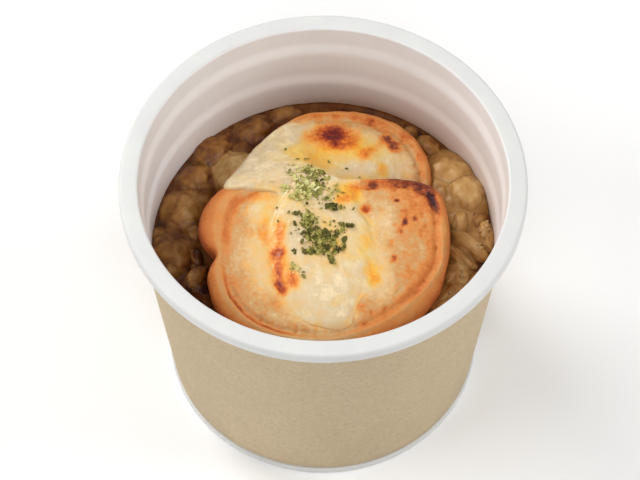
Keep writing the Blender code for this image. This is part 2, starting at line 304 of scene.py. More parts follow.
def add_node(owner, kind, inputs, **settings):
    """A node whose inputs are fed from sockets or values; owner is any node of its tree."""
    result = owner.id_data.nodes.new("ShaderNode" + kind)
    for name, value in settings.items():
        setattr(result, name, value)
    for name, value in inputs.items():
        feed(result.inputs[name], value)
    return result


def attribute(owner, name):
    return add_node(owner, "Attribute", {}, attribute_name=name).outputs["Fac"]


def place(owner, stretch=(1, 1, 1)):
    """The point on the surface, in metres, stretched along the axes."""
    coordinates = add_node(owner, "TexCoord", {})
    mapping = add_node(owner, "Mapping", {"Vector": coordinates.outputs["Object"], "Scale": stretch})
    return mapping.outputs["Vector"]


def grain(owner, size, detail=2.0, where=None, distortion=0.0):
    """Noise from 0 to 1 with features of this size."""
    where = where or place(owner)
    inputs = {"Vector": where, "Scale": 1 / size, "Detail": detail, "Distortion": distortion}
    return add_node(owner, "TexNoise", inputs).outputs["Fac"]


def calc(owner, operation, first, second):
    return add_node(owner, "Math", {0: first, 1: second}, operation=operation).outputs[0]


def total(owner, first, *others):
    for other in others:
        first = calc(owner, "ADD", first, other)
    return first


def less(owner, value, share, factor):
    """The value less this factor of the share."""
    return calc(owner, "SUBTRACT", value, calc(owner, "MULTIPLY", share, factor))


def spread(owner, value, low, high, to_low=0.0, to_high=1.0):
    """Map a range to another one, clamped."""
    inputs = {"Value": value, "From Min": low, "From Max": high, "To Min": to_low, "To Max": to_high}
    return add_node(owner, "MapRange", inputs).outputs["Result"]


def vary(owner, value, low, high):
    """Map the middle range of noise, where most of it lies, to another range."""
    return spread(owner, value, 0.3, 0.7, low, high)


def ramp(owner, factor, stops):
    """Colour ramp through (position, red, green, blue) stops, with colours from 0 to 255."""
    result = add_node(owner, "ValToRGB", {"Fac": factor})
    elements = result.color_ramp.elements
    while len(elements) < len(stops):
        elements.new(0.5)
    for element, (position, *colour) in zip(elements, stops):
        element.position = position
        element.color = srgb(*colour)
    return result.outputs["Color"]


def mix_colour(owner, factor, first, second):
    result = add_node(owner, "Mix", {}, data_type="RGBA")
    sockets = {socket.identifier: socket for socket in [*result.inputs, *result.outputs]}
    for name, value in (("Factor_Float", factor), ("A_Color", first), ("B_Color", second)):
        feed(sockets[name], value)
    return sockets["Result_Color"]


def finish_shader(shader, colour, roughness=None, bumps=()):
    """Link the colour and roughness, and chain (height, distance in metres) bumps into the normal."""
    feed(shader.inputs["Base Color"], colour)
    if roughness:
        feed(shader.inputs["Roughness"], roughness)
    normal = None
    for height, distance in bumps:
        inputs = {"Height": height, "Distance": distance, "Strength": 1.0}
        if normal:
            inputs["Normal"] = normal
        normal = add_node(shader, "Bump", inputs).outputs["Normal"]
    if normal:
        feed(shader.inputs["Normal"], normal)


# ----------------------------------------------------------------- materials

def white_plastic():
    """Satin moulded plastic, painted lighter on the inner wall as painted light, and brown above the soup as
    painted shade and painted reflection of the broth.
    """
    material, shader = new_material("white_plastic", IOR=1.47)
    clouding = grain(shader, 0.012, 3.0)
    outer = ramp(shader, clouding, [(0.3, 218, 218, 216), (0.7, 223, 223, 220)])
    # Painted light: the inner wall is the same plastic as the outside, made lighter to stand in for the light
    # on it.
    inner = ramp(shader, clouding, [(0.3, 240, 237, 236), (0.7, 244, 242, 241)])
    colour = mix_colour(shader, attribute(shader, "inside"), outer, inner)
    # Painted shade and painted reflection of the broth: brown on the inner wall above the soup.
    colour = mix_colour(shader, attribute(shader, "painted_broth_shade"), colour, srgb(182, 149, 121))
    roughness = vary(shader, grain(shader, 0.004, 4.0), 0.36, 0.50)
    finish_shader(shader, colour, roughness, [(grain(shader, 0.0007, 3.0), 0.00003)])
    return material


def kraft_card():
    """Unbleached card with fibres running round the cup."""
    material, shader = new_material("kraft_card", Specular_IOR_Level=0.25)
    pulp = grain(shader, 0.0012, 4.0, place(shader, (1, 1, 1.6)))
    mottle = grain(shader, 0.009, 3.0)
    fibre = grain(shader, 0.0011, 2.0, place(shader, (0.7, 0.7, 1.5)), 1.0)
    colour = ramp(shader, pulp, [(0.25, 192, 172, 140), (0.5, 203, 183, 150), (0.78, 214, 196, 164)])
    tints = [
        (mottle, 0.35, 0.65, 0.22, (190, 167, 134)), (fibre, 0.62, 0.72, 0.28, (134, 110, 78)),
        (fibre, 0.38, 0.28, 0.30, (226, 212, 184)),
    ]
    for value, none, full, strength, tint in tints:
        share = spread(shader, value, none, full, 0.0, strength)
        colour = mix_colour(shader, share, colour, srgb(*tint))
    finish_shader(shader, colour, vary(shader, pulp, 0.72, 0.90), [(pulp, 0.00006), (fibre, 0.00004)])
    return material


def broth_material():
    """Dark clear stock with fine oil and sediment."""
    material, shader = new_material("broth", Specular_IOR_Level=0.16, Coat_Weight=0.04, Coat_Roughness=0.08)
    cloud = grain(shader, 0.006, 4.0, distortion=0.6)
    colour = ramp(shader, cloud, [(0.25, 78, 38, 15), (0.5, 112, 64, 28), (0.8, 140, 90, 44)])
    grains = add_node(shader, "TexVoronoi", {"Vector": place(shader), "Scale": 1 / 0.0016})
    sediment = spread(shader, grains.outputs["Distance"], 0.16, 0.08, 0.0, 0.7)
    colour = mix_colour(shader, sediment, colour, srgb(58, 26, 10))
    finish_shader(shader, colour, vary(shader, cloud, 0.18, 0.34), [(grain(shader, 0.003, 2.0), 0.0001)])
    return material


ONION_STOPS = [
    (0.00, 54, 20, 4), (0.20, 98, 51, 15), (0.40, 144, 95, 38),
    (0.60, 176, 131, 73), (0.80, 201, 164, 107), (1.00, 228, 200, 150),
]


def stewed_onion():
    """Soft translucent onion, from dark brown at shade 0 to pale yellow-brown at shade 1."""
    material, shader = new_material(
        "stewed_onion", Specular_IOR_Level=0.30, Coat_Weight=0.08, Coat_Roughness=0.20,
        Subsurface_Weight=0.35, Subsurface_Scale=0.003, Subsurface_Radius=(1.0, 0.55, 0.25),
    )
    cloud = grain(shader, 0.0042, 4.0, distortion=0.8)
    veins = grain(shader, 0.0014, 3.0, place(shader, (1.0, 0.35, 1.0)), 0.5)
    uneven = vary(shader, cloud, -0.12, 0.12), vary(shader, veins, -0.04, 0.04)
    colour = ramp(shader, total(shader, attribute(shader, "shade"), *uneven), ONION_STOPS)
    finish_shader(shader, colour, vary(shader, veins, 0.34, 0.52), [(veins, 0.00005), (cloud, 0.00016)])
    return material


# Colours of browning, from pale at 0 to char at 1
TOAST_STOPS = [
    (0.00, 233, 208, 166), (0.20, 220, 186, 138), (0.38, 204, 157, 101), (0.52, 214, 138, 70),
    (0.66, 200, 110, 50), (0.80, 152, 74, 38), (1.00, 62, 26, 30),
]
CREAM_STOPS = [
    (0.00, 255, 233, 190), (0.14, 216, 195, 157), (0.30, 226, 184, 120), (0.46, 230, 148, 68),
    (0.62, 200, 96, 36), (0.80, 132, 44, 28), (1.00, 70, 20, 30),
]
YELLOW_STOPS = [
    (0.00, 226, 202, 134), (0.16, 228, 190, 102), (0.32, 236, 174, 66), (0.48, 230, 138, 46),
    (0.62, 198, 94, 32), (0.80, 132, 44, 28), (1.00, 70, 20, 30),
]


def baked_material(name, **constants):
    """Toast or the cheese melted into it, both browning with heat.

    The attributes are browning, from pale at 0 to char at 1; melt, the share of cheese; yellow, the
    share of golden rather than cream cheese; and smooth, 1 on crust and 0 on open crumb.
    """
    material, shader = new_material(
        name, Specular_IOR_Level=0.28, Subsurface_Weight=0.12, Subsurface_Scale=0.0018,
        Subsurface_Radius=(1.0, 0.65, 0.33), **constants
    )
    mottle = grain(shader, 0.0030, 5.0, distortion=0.4)
    fine = grain(shader, 0.0009, 4.0)
    cloud = grain(shader, 0.0050, 3.0, distortion=0.6)
    browning = attribute(shader, "browning")
    uneven = total(shader, vary(shader, mottle, -0.08, 0.08), vary(shader, fine, -0.065, 0.065))
    crumb = less(shader, 1.0, attribute(shader, "smooth"), 0.7)
    toast_heat = total(shader, browning, calc(shader, "MULTIPLY", uneven, crumb))
    cheese_heat = total(shader, browning, vary(shader, mottle, -0.06, 0.06), vary(shader, fine, -0.03, 0.03))
    yellow = total(shader, attribute(shader, "yellow"), spread(shader, cloud, 0.35, 0.65, -0.30, 0.30))
    yellow = spread(shader, yellow, 0.0, 1.0)
    cream_colour = ramp(shader, cheese_heat, CREAM_STOPS)
    yellow_colour = ramp(shader, cheese_heat, YELLOW_STOPS)
    cheese_colour = mix_colour(shader, yellow, cream_colour, yellow_colour)
    melt = total(shader, attribute(shader, "melt"), vary(shader, mottle, -0.28, 0.28))
    melt = spread(shader, melt, 0.25, 0.75)
    colour = mix_colour(shader, melt, ramp(shader, toast_heat, TOAST_STOPS), cheese_colour)
    roughness = less(shader, vary(shader, fine, 0.50, 0.68), melt, 0.22)
    coarseness = less(shader, 1.0, melt, 0.6)
    relief = calc(shader, "MULTIPLY", mottle, coarseness)
    pores = calc(shader, "MULTIPLY", fine, coarseness)
    finish_shader(shader, colour, roughness, [(relief, 0.00028), (pores, 0.00014)])
    return material


def toast_material():
    """Bread that browns from cream through gold to char, soaked with cheese in places."""
    return baked_material("toast")


def cheese_material():
    """Melted cheese, cream to golden, with blisters browned by the heat."""
    return baked_material("melted_cheese", Coat_Weight=0.20, Coat_Roughness=0.28)


def parsley_material():
    """Dried parsley, from dark green at shade 0 to faded yellow-green at shade 1."""
    material, shader = new_material(
        "dried_parsley", Specular_IOR_Level=0.3, Subsurface_Weight=0.1, Subsurface_Scale=0.0005
    )
    veins = grain(shader, 0.0004, 3.0)
    shade = total(shader, attribute(shader, "shade"), vary(shader, veins, -0.15, 0.15))
    stops = [(0.0, 62, 60, 16), (0.3, 104, 98, 34), (0.65, 168, 160, 80), (1.0, 226, 218, 150)]
    finish_shader(shader, ramp(shader, shade, stops), vary(shader, veins, 0.55, 0.8), [(veins, 0.00008)])
    return material


def oil_material():
    """Clear golden bubbles and drops of fat."""
    material, shader = new_material(
        "oil", Roughness=0.05, IOR=1.46, Coat_Weight=0.5, Coat_Roughness=0.02, Subsurface_Weight=0.2,
        Subsurface_Scale=0.001,
    )
    cloud = grain(shader, 0.0015, 2.0)
    finish_shader(shader, ramp(shader, cloud, [(0.3, 150, 104, 50), (0.7, 196, 156, 92)]))
    return material


def floor_material():
    """Matt pale floor, faintly clouded."""
    material, shader = new_material("floor", Roughness=0.9, Specular_IOR_Level=0.1)
    darker, lighter = (0.97, 0.97, 0.97, 1), (0.985, 0.985, 0.985, 1)
    finish_shader(shader, mix_colour(shader, grain(shader, 0.3, 2.0), darker, lighter))
    return material


# ------------------------------------------------------------- cup and sleeve

def sleeve_radius(height):
    """Outer radius of the card sleeve."""
    return SLEEVE_TOP_RADIUS - WALL_SLOPE * (SLEEVE_TOP - height)


def wall_radius(height):
    return sleeve_radius(height) - SLEEVE_THICKNESS - CLEARANCE


def inner_radius(height):
    return wall_radius(height) - WALL_THICKNESS


def painted_wall_shade(points):
    """Painted shade and painted reflection of the broth on the wall above the soup: an edge all round, and a
    haze higher up at the back.
    """
    at_back = nearness(np.arctan2(points[:, 1], points[:, 0]), 60, 62)
    above = points[:, 2] - BROTH_LEVEL
    edge = 0.62 * (0.30 + 0.70 * at_back) * smooth_step(0.0160, 0.0010, above)
    return edge + 0.28 * at_back * smooth_step(0.0330, 0.0120, above)


def build_cup(material):
    """The moulded cup with rounded edges: foot ring, wall, turned-down rim and stacking steps."""
    top = CUP_HEIGHT
    flange = top - 0.0011
    skirt = top - 0.0033
    rim = RIM_RADIUS - 0.0002
    foot_top = 0.0024
    floor_bottom, floor_top = 0.0022, 0.0034
    steps_end = top - 0.0360
    corners = [
        (0, floor_bottom, 0), (0.0432, floor_bottom, 0.0006), (0.0440, 0.0014, 0.0004),
        (0.0447, 0, 0.0003), (0.0491, 0, 0.0007), (0.0491, foot_top, 0.0004),
        (wall_radius(foot_top), foot_top, 0), (wall_radius(flange), flange, 0.0008),
        (rim - 0.0010, flange, 0.0005), (rim - 0.0009, skirt, 0.0002), (rim + 0.0002, skirt, 0.0003),
        (rim, top, 0.0010), (RIM_INNER_RADIUS, top, 0.0008), (0.0541, top - 0.0070, 0.0090),
        (0.0530, top - 0.0106, 0.0090), (0.0532, top - 0.0215, 0.0090), (0.0522, top - 0.0250, 0.0090),
        (inner_radius(steps_end), steps_end, 0.004), (inner_radius(floor_top), floor_top, 0.003),
        (0, floor_top, 0),
    ]
    levels = turned(rounded_profile(corners)[1:-1])
    points = np.vstack(levels + [[(0, 0, floor_bottom)], [(0, 0, floor_top)]])
    cup = mesh_piece("cup_shell", points, ring_skin(levels), material)
    radius, height = np.hypot(points[:, 0], points[:, 1]), points[:, 2]
    lining = np.minimum(wall_radius(height) - 0.0002, RIM_INNER_RADIUS + 0.0006)
    inside = smooth_step(0, 0.0006, lining - radius) * (height > floor_top - 0.0002)
    # Painted light makes the inner wall lighter; painted shade and painted reflection of the broth make it
    # brown above the soup.
    paint(cup, "inside", inside)
    paint(cup, "painted_broth_shade", inside * painted_wall_shade(points))
    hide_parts("cup")


def build_sleeve(material):
    """Card sleeve with rounded cut edges and a glued overlap at the back."""
    seam_start, seam_width, seam_rise = math.radians(96), math.radians(13), math.radians(0.7)
    flap, edge, rows = 0.00035, 0.00012, 24
    turns = full_turn(TURN_SEGMENTS * 2)
    past_seam = (turns - seam_start) % math.tau
    raised = flap * smooth_step(0, seam_rise, past_seam)
    raised *= smooth_step(seam_width * 1.6, seam_width, past_seam)
    heights = [SLEEVE_BOTTOM + (SLEEVE_TOP - SLEEVE_BOTTOM) * i / rows for i in range(rows + 1)]
    outer_heights = [SLEEVE_BOTTOM + edge] + heights[1:-1] + [SLEEVE_TOP - edge]
    outer = [(sleeve_radius(SLEEVE_BOTTOM) - edge, SLEEVE_BOTTOM)]
    outer += [(sleeve_radius(height), height) for height in outer_heights]
    outer += [(sleeve_radius(SLEEVE_TOP) - edge, SLEEVE_TOP)]
    levels = [ring(radius + raised, turns, height) for radius, height in outer]
    inner_heights = [SLEEVE_TOP] + heights[-2::-1]
    levels += turned([(sleeve_radius(h) - SLEEVE_THICKNESS, h) for h in inner_heights], len(turns))
    sleeve = mesh_piece("card_sleeve", np.vstack(levels), ring_skin(levels, True), material)
    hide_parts("sleeve")


# ------------------------------------------------------------------- bread

# Crust from the underside up to the cut face, as (share of the bulge, share of the thickness)
CRUST_RINGS = [(-0.20, -1.0), (0.60, -0.88), (1.0, -0.55), (0.94, -0.28), (0.68, -0.09), (0.15, 0.0)]
CHORD_ROUND = 0.0060         # how softly a slice's straight cut end meets its outline
SLICE_SEGMENTS = 440
UNDERSIDE_IN = -0.020        # stands for the distance in from the face's edge on the underside
CRUST_IN = -0.012            # the same at the foot of the crust
FACE_HEAT = 0.42             # browning of a bare cut face
CHEESE_HEAT = 0.15
CRUST_HEAT = 0.57
# Relief of the cut face and of the crust: broad, medium and small unevenness
FACE_RELIEF = (0.00034, 0.00026, 0.00018)
CRUST_RELIEF = (0.00035, 0.00016, 0.00006)
PORE_DEPTH = 0.00045
BROWNED_DEPTH = 0.00030      # how far the browned spots sink
RIDGE_HEIGHT = 0.00045       # at the edge of the cut face
GROOVE_DEPTH = 0.00080       # just inside it

# Patches on each cut face, in millimetres from its middle:
# (across, along, length, width, turn in degrees, strength)
BACK_HEAT_AND_PAINTED_LIGHT = [
    (1.4, 18.6, 4.7, 3.6, 0, 0.48), (0.6, 17.6, 8.8, 5.4, -4, 0.28), (8.4, 17, 2.4, 2.8, 0, 0.2),
    (4.8, 14.2, 4.4, 1.6, 0, 0.24), (-6.4, 18, 3, 2.8, 0, 0.16), (18.3, 17.2, 2.6, 1.4, -20, 0.48),
    # The patch at (-22, 8) browns less: painted light, paler where the rim shades the back slice's left.
    (20.3, 14.2, 2, 1.6, -30, 0.48), (-22, 8, 7, 16, -45, -0.15), (-5, 9, 7, 4, 0, 0.1),
    (21.6, 15.8, 1, 0.7, 0, 0.3), (11.4, 11.8, 2.6, 2.4, 30, 0.34), (14.5, 14.8, 2.6, 1.6, 40, 0.2),
    (16.6, 6.8, 1.5, 1.7, 0, 0.26), (24.5, 18, 2.4, 1.8, -40, 0.16), (28.5, 12, 1.6, 4, 10, 0.18),
    (-14.5, 19, 1.2, 1.2, 0, 0.25), (12.5, 23.4, 6, 1.4, -22, 0.17), (-6, 24.8, 6, 1.2, 8, 0.1),
]
FRONT_HEAT_AND_PAINTED_LIGHT = [
    (13.9, 23.5, 2, 1.6, -20, 0.42), (23.4, 23.8, 7, 1.6, -4, 0.31), (29.4, 21.4, 3.8, 1.8, -40, 0.3),
    (32.8, 16.4, 1.1, 3.2, 22, 0.35), (31.6, 19.8, 1.6, 1.2, -40, 0.22), (22, 25.2, 8, 0.7, -3, 0.24),
    (31.4, 22.4, 4, 0.8, -42, 0.24), (24.5, 14, 4, 3, 30, 0.08), (26, 18.5, 8, 4.5, -14, 0.14),
    # The patches at (-4, -28.5) and (26, -21) brown the crust less: painted light, paler where the rim shades
    # the front crust.
    (28.2, 3, 1.2, 5.5, 14, -0.12), (18.5, 10.5, 3, 4.5, 10, -0.1), (-4, -28.5, 20, 3.4, 0, -0.14),
    (26, -21, 12, 3.4, 42, -0.08), (11.6, 15.8, 1.5, 1.8, 10, 0.42), (11.5, 14.6, 2.6, 2.8, 10, 0.16),
    (7.2, 20.2, 2.9, 4.2, -28, 0.26), (9.8, 23.2, 3.2, 2, 0, 0.17), (5, 17.7, 2, 1.8, 0, 0.16),
    (21.4, 18.5, 0.9, 0.7, 0, 0.6), (23.5, 11, 0.6, 1.5, -24, 0.55), (22, 8.2, 0.7, 1.1, 0, 0.3),
    (20.1, -1.2, 0.7, 1.4, -10, 0.4), (26.5, 12.2, 0.7, 0.9, 0, 0.3), (19, 3.4, 0.9, 1.5, 0, 0.22),
    (28.5, 6, 2.4, 6, 8, 0.12), (24, -4, 0.9, 1.3, 20, 0.18), (12.3, -11.3, 1.6, 2.4, 0, -0.14),
    (2, 2.5, 6, 6, 0, 0.06), (-18.3, 7.2, 2, 5.2, 4, 0.22), (-13.8, 7.4, 1.8, 4.8, 2, 0.31),
    (-14.4, 0.3, 2.4, 2.4, 0, 0.34), (-14.6, -1.4, 3.2, 6.5, 0, 0.2), (-14.6, -3.2, 1, 2.6, 0, 0.15),
    (-14.3, -6.6, 1.5, 3.4, -4, 0.25), (-13.6, -10.8, 2.5, 1.5, -42, 0.42),
    (-9.7, -8.9, 2.2, 2.5, 20, 0.32), (-11.8, -8.4, 3.2, 5, -20, 0.16), (-22.5, 18.8, 4.5, 1.8, 16, 0.16),
    (12.8, -5, 2.3, 2.9, 0, 0.16), (14.4, -8.2, 1.5, 1.9, 0, 0.14), (10, -16.4, 1.3, 2.4, 0, 0.24),
    (12.4, 4, 1.8, 3, 0, 0.12), (27, -6, 3, 7, -20, 0.1), (-16, -15.5, 6, 2.5, -35, 0.1),
    (-21, 4, 4, 12, 0, 0.04),
]
BACK_YELLOW = [
    (-6, 9.5, 9, 5, 10, 0.85), (10, 14, 9, 5, 0, 0.7), (9.5, 2.8, 4, 2.2, 0, 0.8), (-2, 3, 8, 4, 0, 0.55),
    (16.5, 6.8, 2.5, 2.5, 0, 0.9), (-12, 12.5, 4, 3, 0, 0.3), (0, 15, 10, 4, 0, 0.5), (-4, 9, 8, 5, 0, 0.3),
]
FRONT_YELLOW = [
    (-17.5, 17, 5, 6, 20, 0.45), (-17.5, 6, 3.5, 7, 0, 0.5), (-1, 6, 9, 7, -20, 0.45),
    (13, 9, 2.8, 4.5, 0, 0.75), (13, 0, 3.2, 5, 0, 0.65), (14, -7.4, 3, 4, 0, 1), (7.5, 21, 5, 5, 0, 1.2),
    (10.5, -16, 2.2, 3.2, 0, 0.8), (-8, 18, 5, 5, 0, 0.45), (-14, -4, 4, 8, 0, 0.4), (3, 3, 7, 8, 0, 0.35),
]
# Cheese fat soaked into the toast beyond the cheese itself, with painted light in the back slice's first
# patch
BACK_SOAKED_AND_PAINTED_LIGHT = [
    # The first patch is also painted light: pale cream where the rim shades the back slice's left.
    (-22, 6, 9, 16, -45, 0.9), (19.5, 9, 6, 6, 0, 0.52), (24, 4, 3.4, 7, 0, 0.42),
]
FRONT_SOAKED = [
    (-19, 8, 5, 12, -4, 0.5), (-21, -3, 6, 9, 10, 0.44), (-17, -11, 6, 6, 30, 0.45),
    (-20, 16, 5, 5, 0, 0.6), (-11.4, -18.7, 5, 3.5, 0, 0.4), (17, 2, 4, 11, 0, 0.42),
    (16.5, -10, 4.5, 7, 0, 0.48), (17, 15, 5, 5, 0, 0.3),
]


class Slice(SimpleNamespace):
    """A toasted slice with the CAD slice's outline, its cut face a superellipse in each quarter.

    Lobes and waists are bumps and dips of the crust, as (direction, width) in degrees and a size or
    a share. Bands are where the face is toasted just inside its edge: direction and width in degrees,
    strength and reach inwards. The chord is a straight cut end, as its direction and its distance.
    """

    lobes = ()
    chord = None

    def face_radius(self, angle):
        """Distance from the middle to the edge of the cut face in each direction."""
        right, rear, left, front = self.halves
        rear_right, rear_left, front_left, front_right = self.powers
        across, along = np.cos(angle), np.sin(angle)
        half_width = np.where(across > 0, right, left)
        half_depth = np.where(along > 0, rear, front)
        rear_power = np.where(across > 0, rear_right, rear_left)
        front_power = np.where(across > 0, front_right, front_left)
        power = np.where(along > 0, rear_power, front_power)
        radius = (np.abs(across / half_width) ** power + np.abs(along / half_depth) ** power) ** (-1 / power)
        if self.chord:
            chord_angle, chord_distance = self.chord
            facing = np.maximum(np.cos(angle - chord_angle), 0.1)
            radius = smaller(radius, chord_distance / facing, CHORD_ROUND)
        return radius

    def bulge(self, angle):
        """How far the crust stands out below the edge of the cut face."""
        result = np.full_like(angle, self.flare)
        for direction, width, height in self.lobes:
            result += height * nearness(angle, direction, width)
        for direction, width, depth in self.waists:
            result *= 1 - depth * nearness(angle, direction, width)
        return result

    def band(self, angle, inward):
        """How strongly the face is toasted just inside its edge."""
        total_band = np.zeros_like(inward)
        for direction, width, strength, reach in self.bands:
            across = smooth_step(0.0003, 0.0011, inward) * smooth_step(reach + 0.0012, reach - 0.0008, inward)
            total_band += strength * nearness(angle, direction, width) * across
        return total_band

    def place(self, local):
        """Points of the slice, given with its face level and central, where the slice lies."""
        placed = np.array(Matrix.Translation(self.middle) @ Matrix.Rotation(math.atan(self.slope), 4, "X"))
        return local @ placed[:3, :3].T + placed[:3, 3]

    def plane_height(self, y):
        """Height of the plane of the cut face."""
        return self.middle.z + self.slope * (y - self.middle.y)

    def local(self, x, y):
        """Position on the cut face under a point in plan."""
        return x - self.middle.x, (y - self.middle.y) * math.hypot(1, self.slope)

    def outside(self, x, y):
        """Distance of a point beyond the edge of the cut face, below zero over the face."""
        across, along = self.local(x, y)
        return np.hypot(across, along) - self.face_radius(np.arctan2(along, across))


def within(node, *shares):
    """The point at these shares of a CAD node's box."""
    low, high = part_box(node)
    return Vector([low[i] + share * (high[i] - low[i]) for i, share in enumerate(shares)])


BACK_SLICE = Slice(
    middle=within("bread_back", 0.505, 0.480, 0.755),
    slope=0.21,
    halves=(0.0308, 0.0262, 0.0315, 0.0255),
    powers=(2.5, 2.5, 2.5, 2.5),
    flare=0.0018,
    waists=[(90, 40, 0.35), (180, 8, 0.70), (-4, 12, 0.70), (140, 28, 0.75)],
    bands=[(88, 42, 0.10, 0.0012), (20, 36, 0.05, 0.0020)],
    lobes=[(134, 9, 0.0022)],
    chord=(math.radians(136), 0.0256),
    heat=BACK_HEAT_AND_PAINTED_LIGHT, yellow=BACK_YELLOW, soaked=BACK_SOAKED_AND_PAINTED_LIGHT,
)

FRONT_SLICE = Slice(
    middle=within("bread_front", 0.512, 0.4975, 0.8255),
    slope=0.12,
    halves=(0.0350, 0.0251, 0.0320, 0.0274),
    powers=(6.0, 4.0, 2.4, 1.58),
    flare=0.0036,
    waists=[(70, 42, 0.70), (179, 6, 0.85), (-4, 9, 0.45), (14, 30, 0.30), (262, 40, 0.55)],
    bands=[
        (146, 22, 0.21, 0.0038), (168, 8, 0.10, 0.0030), (208, 20, 0.42, 0.0014), (240, 20, 0.42, 0.0012),
        (275, 30, 0.14, 0.0012), (5, 30, 0.12, 0.0048), (-45, 30, 0.10, 0.0044), (68, 26, 0.20, 0.0004),
    ],
    lobes=[(160, 22, 0.0033)],
    heat=FRONT_HEAT_AND_PAINTED_LIGHT, yellow=FRONT_YELLOW, soaked=FRONT_SOAKED,
)


def patches_at(across, along, patches):
    """Sum of soft-edged patches at points of a cut face."""
    total_strength = np.zeros_like(across)
    for patch_across, patch_along, length, width, turn, strength in patches:
        dx, dy = across - patch_across * MM, along - patch_along * MM
        cos, sin = math.cos(math.radians(turn)), math.sin(math.radians(turn))
        away = ((dx * cos + dy * sin) / (length * MM)) ** 2 + ((dy * cos - dx * sin) / (width * MM)) ** 2
        total_strength += strength * np.exp(-away ** 1.4)
    return total_strength


# Edge of the melted cheese in plan, in millimetres, anticlockwise from its tongue at the front
CHEESE_EDGE = [
    (2, -36.6), (8.2, -35.2), (9.6, -29.5), (14, -22), (16.2, -13.7), (15.5, -5.5), (12.8, 2.2),
    (11.8, 8.2), (12.2, 12.6), (15.5, 15.2), (21.5, 18), (21.8, 25), (18, 31), (11, 35.8), (2.5, 37),
    (-5.2, 38), (-11.8, 36.8), (-17, 33.2), (-21.8, 27.6), (-25, 22), (-27.8, 15.8), (-30, 10.8),
    (-28.2, 8.8), (-24, 8.6), (-19, 8.6), (-14.4, 8), (-13.6, 5), (-15.8, -1), (-17.4, -8.5), (-16, -16),
    (-13, -24.5), (-7, -33),
]


def inside_cheese(x, y):
    """Distance of points in plan inside the cheese's edge, below zero outside it."""
    outline = closed_curve(CHEESE_EDGE, 150) * MM
    distance, crossings = np.full(len(x), 1.0), np.zeros(len(x), dtype=int)
    for (ax, ay), (bx, by) in zip(outline, np.roll(outline, -1, axis=0)):
        side_x, side_y, past_x, past_y = bx - ax, by - ay, x - ax, y - ay
        share = np.clip((past_x * side_x + past_y * side_y) / (side_x ** 2 + side_y ** 2), 0, 1)
        distance = np.minimum(distance, np.hypot(past_x - share * side_x, past_y - share * side_y))
        spans = (ay > y) != (by > y)
        crossings += spans & (past_x < past_y * side_x / (side_y or 1e-12))
    return np.where(crossings % 2 == 1, distance, -distance)


def baked_fields(x, y, shape):
    """Heat of the patches, share of cheese and share of golden cheese at points over a slice; a few of the
    patches are painted light.
    """
    drift = 0.0007
    across, along = shape.local(x, y)
    across = across + drift * plan_noise(x, y, 0.0040, 3, 40)
    along = along + drift * plan_noise(x, y, 0.0040, 3, 41)
    speckle = 1 + 0.35 * plan_noise(x, y, 0.0007, 2, 42)
    heat = patches_at(across, along, shape.heat) * speckle + 0.05 * plan_noise(x, y, 0.0100, 2, 44)
    soaked = patches_at(across, along, shape.soaked)
    ragged = 0.0014 * plan_noise(x, y, 0.0050, 3, 43)
    melt = smooth_step(-0.0030, 0.0022, inside_cheese(x, y) + ragged)
    yellow = patches_at(across, along, shape.yellow)
    return heat, np.clip(melt + soaked * (1 - melt), 0, 1), np.clip(yellow, 0, 1)


def slice_levels(shape, angles):
    """Rings of a slice, underside to face: radius, height and distance in from the face's edge."""
    edge, bulge = shape.face_radius(angles), shape.bulge(angles)
    levels = [((edge - 0.0030) * share, -SLICE_THICKNESS, UNDERSIDE_IN) for share in (0.25, 0.5, 0.75, 0.92)]
    steps = 36
    for step in range(steps + 1):
        share, drop = curve_point(CRUST_RINGS, step / steps * (len(CRUST_RINGS) - 1))
        inset = 0.0012 * smooth_step(-0.88, -1.0, drop)
        levels.append((edge + share * bulge - inset, drop * SLICE_THICKNESS, CRUST_IN * (1 - step / steps)))
    rows_near_edge, step_in = 26, 0.00032
    for row in range(1, rows_near_edge + 1):
        inward = row * step_in
        ridge = RIDGE_HEIGHT * bell(inward, 0.0002, 0.0006)
        groove = GROOVE_DEPTH * bell(inward, 0.0022, 0.0010)
        levels.append((edge - inward, ridge - groove, inward))
    rows_to_middle = 46
    for row in range(1, rows_to_middle):
        radius = (edge - rows_near_edge * step_in) * (1 - row / rows_to_middle)
        levels.append((radius, 0.0, edge - radius))
    return levels


def slice_grain(local, melt, seed):
    """Broad, medium and small unevenness and the open pores at points of a slice."""
    sizes = ((0.011, 2), (0.0035, 3), (0.0013, 2))
    broad, medium, small = (noise_at(local, *size, seed + k) for k, size in enumerate(sizes))
    pits = smooth_step(0.30, 0.60, noise_at(local, 0.0019, 1, seed + 3)) * (1 - melt)
    return broad, medium, small, pits


def slice_relief(inward, on_face, heat, melt, uneven):
    """How far the uneven crumb and the wrinkled crust stand out."""
    *waves, pits = uneven
    on_crust = smooth_step(0.0005, -0.0010, inward)
    on_crust *= smooth_step(CRUST_IN - 0.0005, CRUST_IN + 0.0005, inward)
    broad, medium, small = (size * wave for size, wave in zip(FACE_RELIEF, waves))
    coarse = (1 - 0.65 * melt) * (medium + small - PORE_DEPTH * pits)
    face = broad + coarse - BROWNED_DEPTH * np.clip(heat, 0, 1)
    return on_face * face + on_crust * sum(size * wave for size, wave in zip(CRUST_RELIEF, waves))


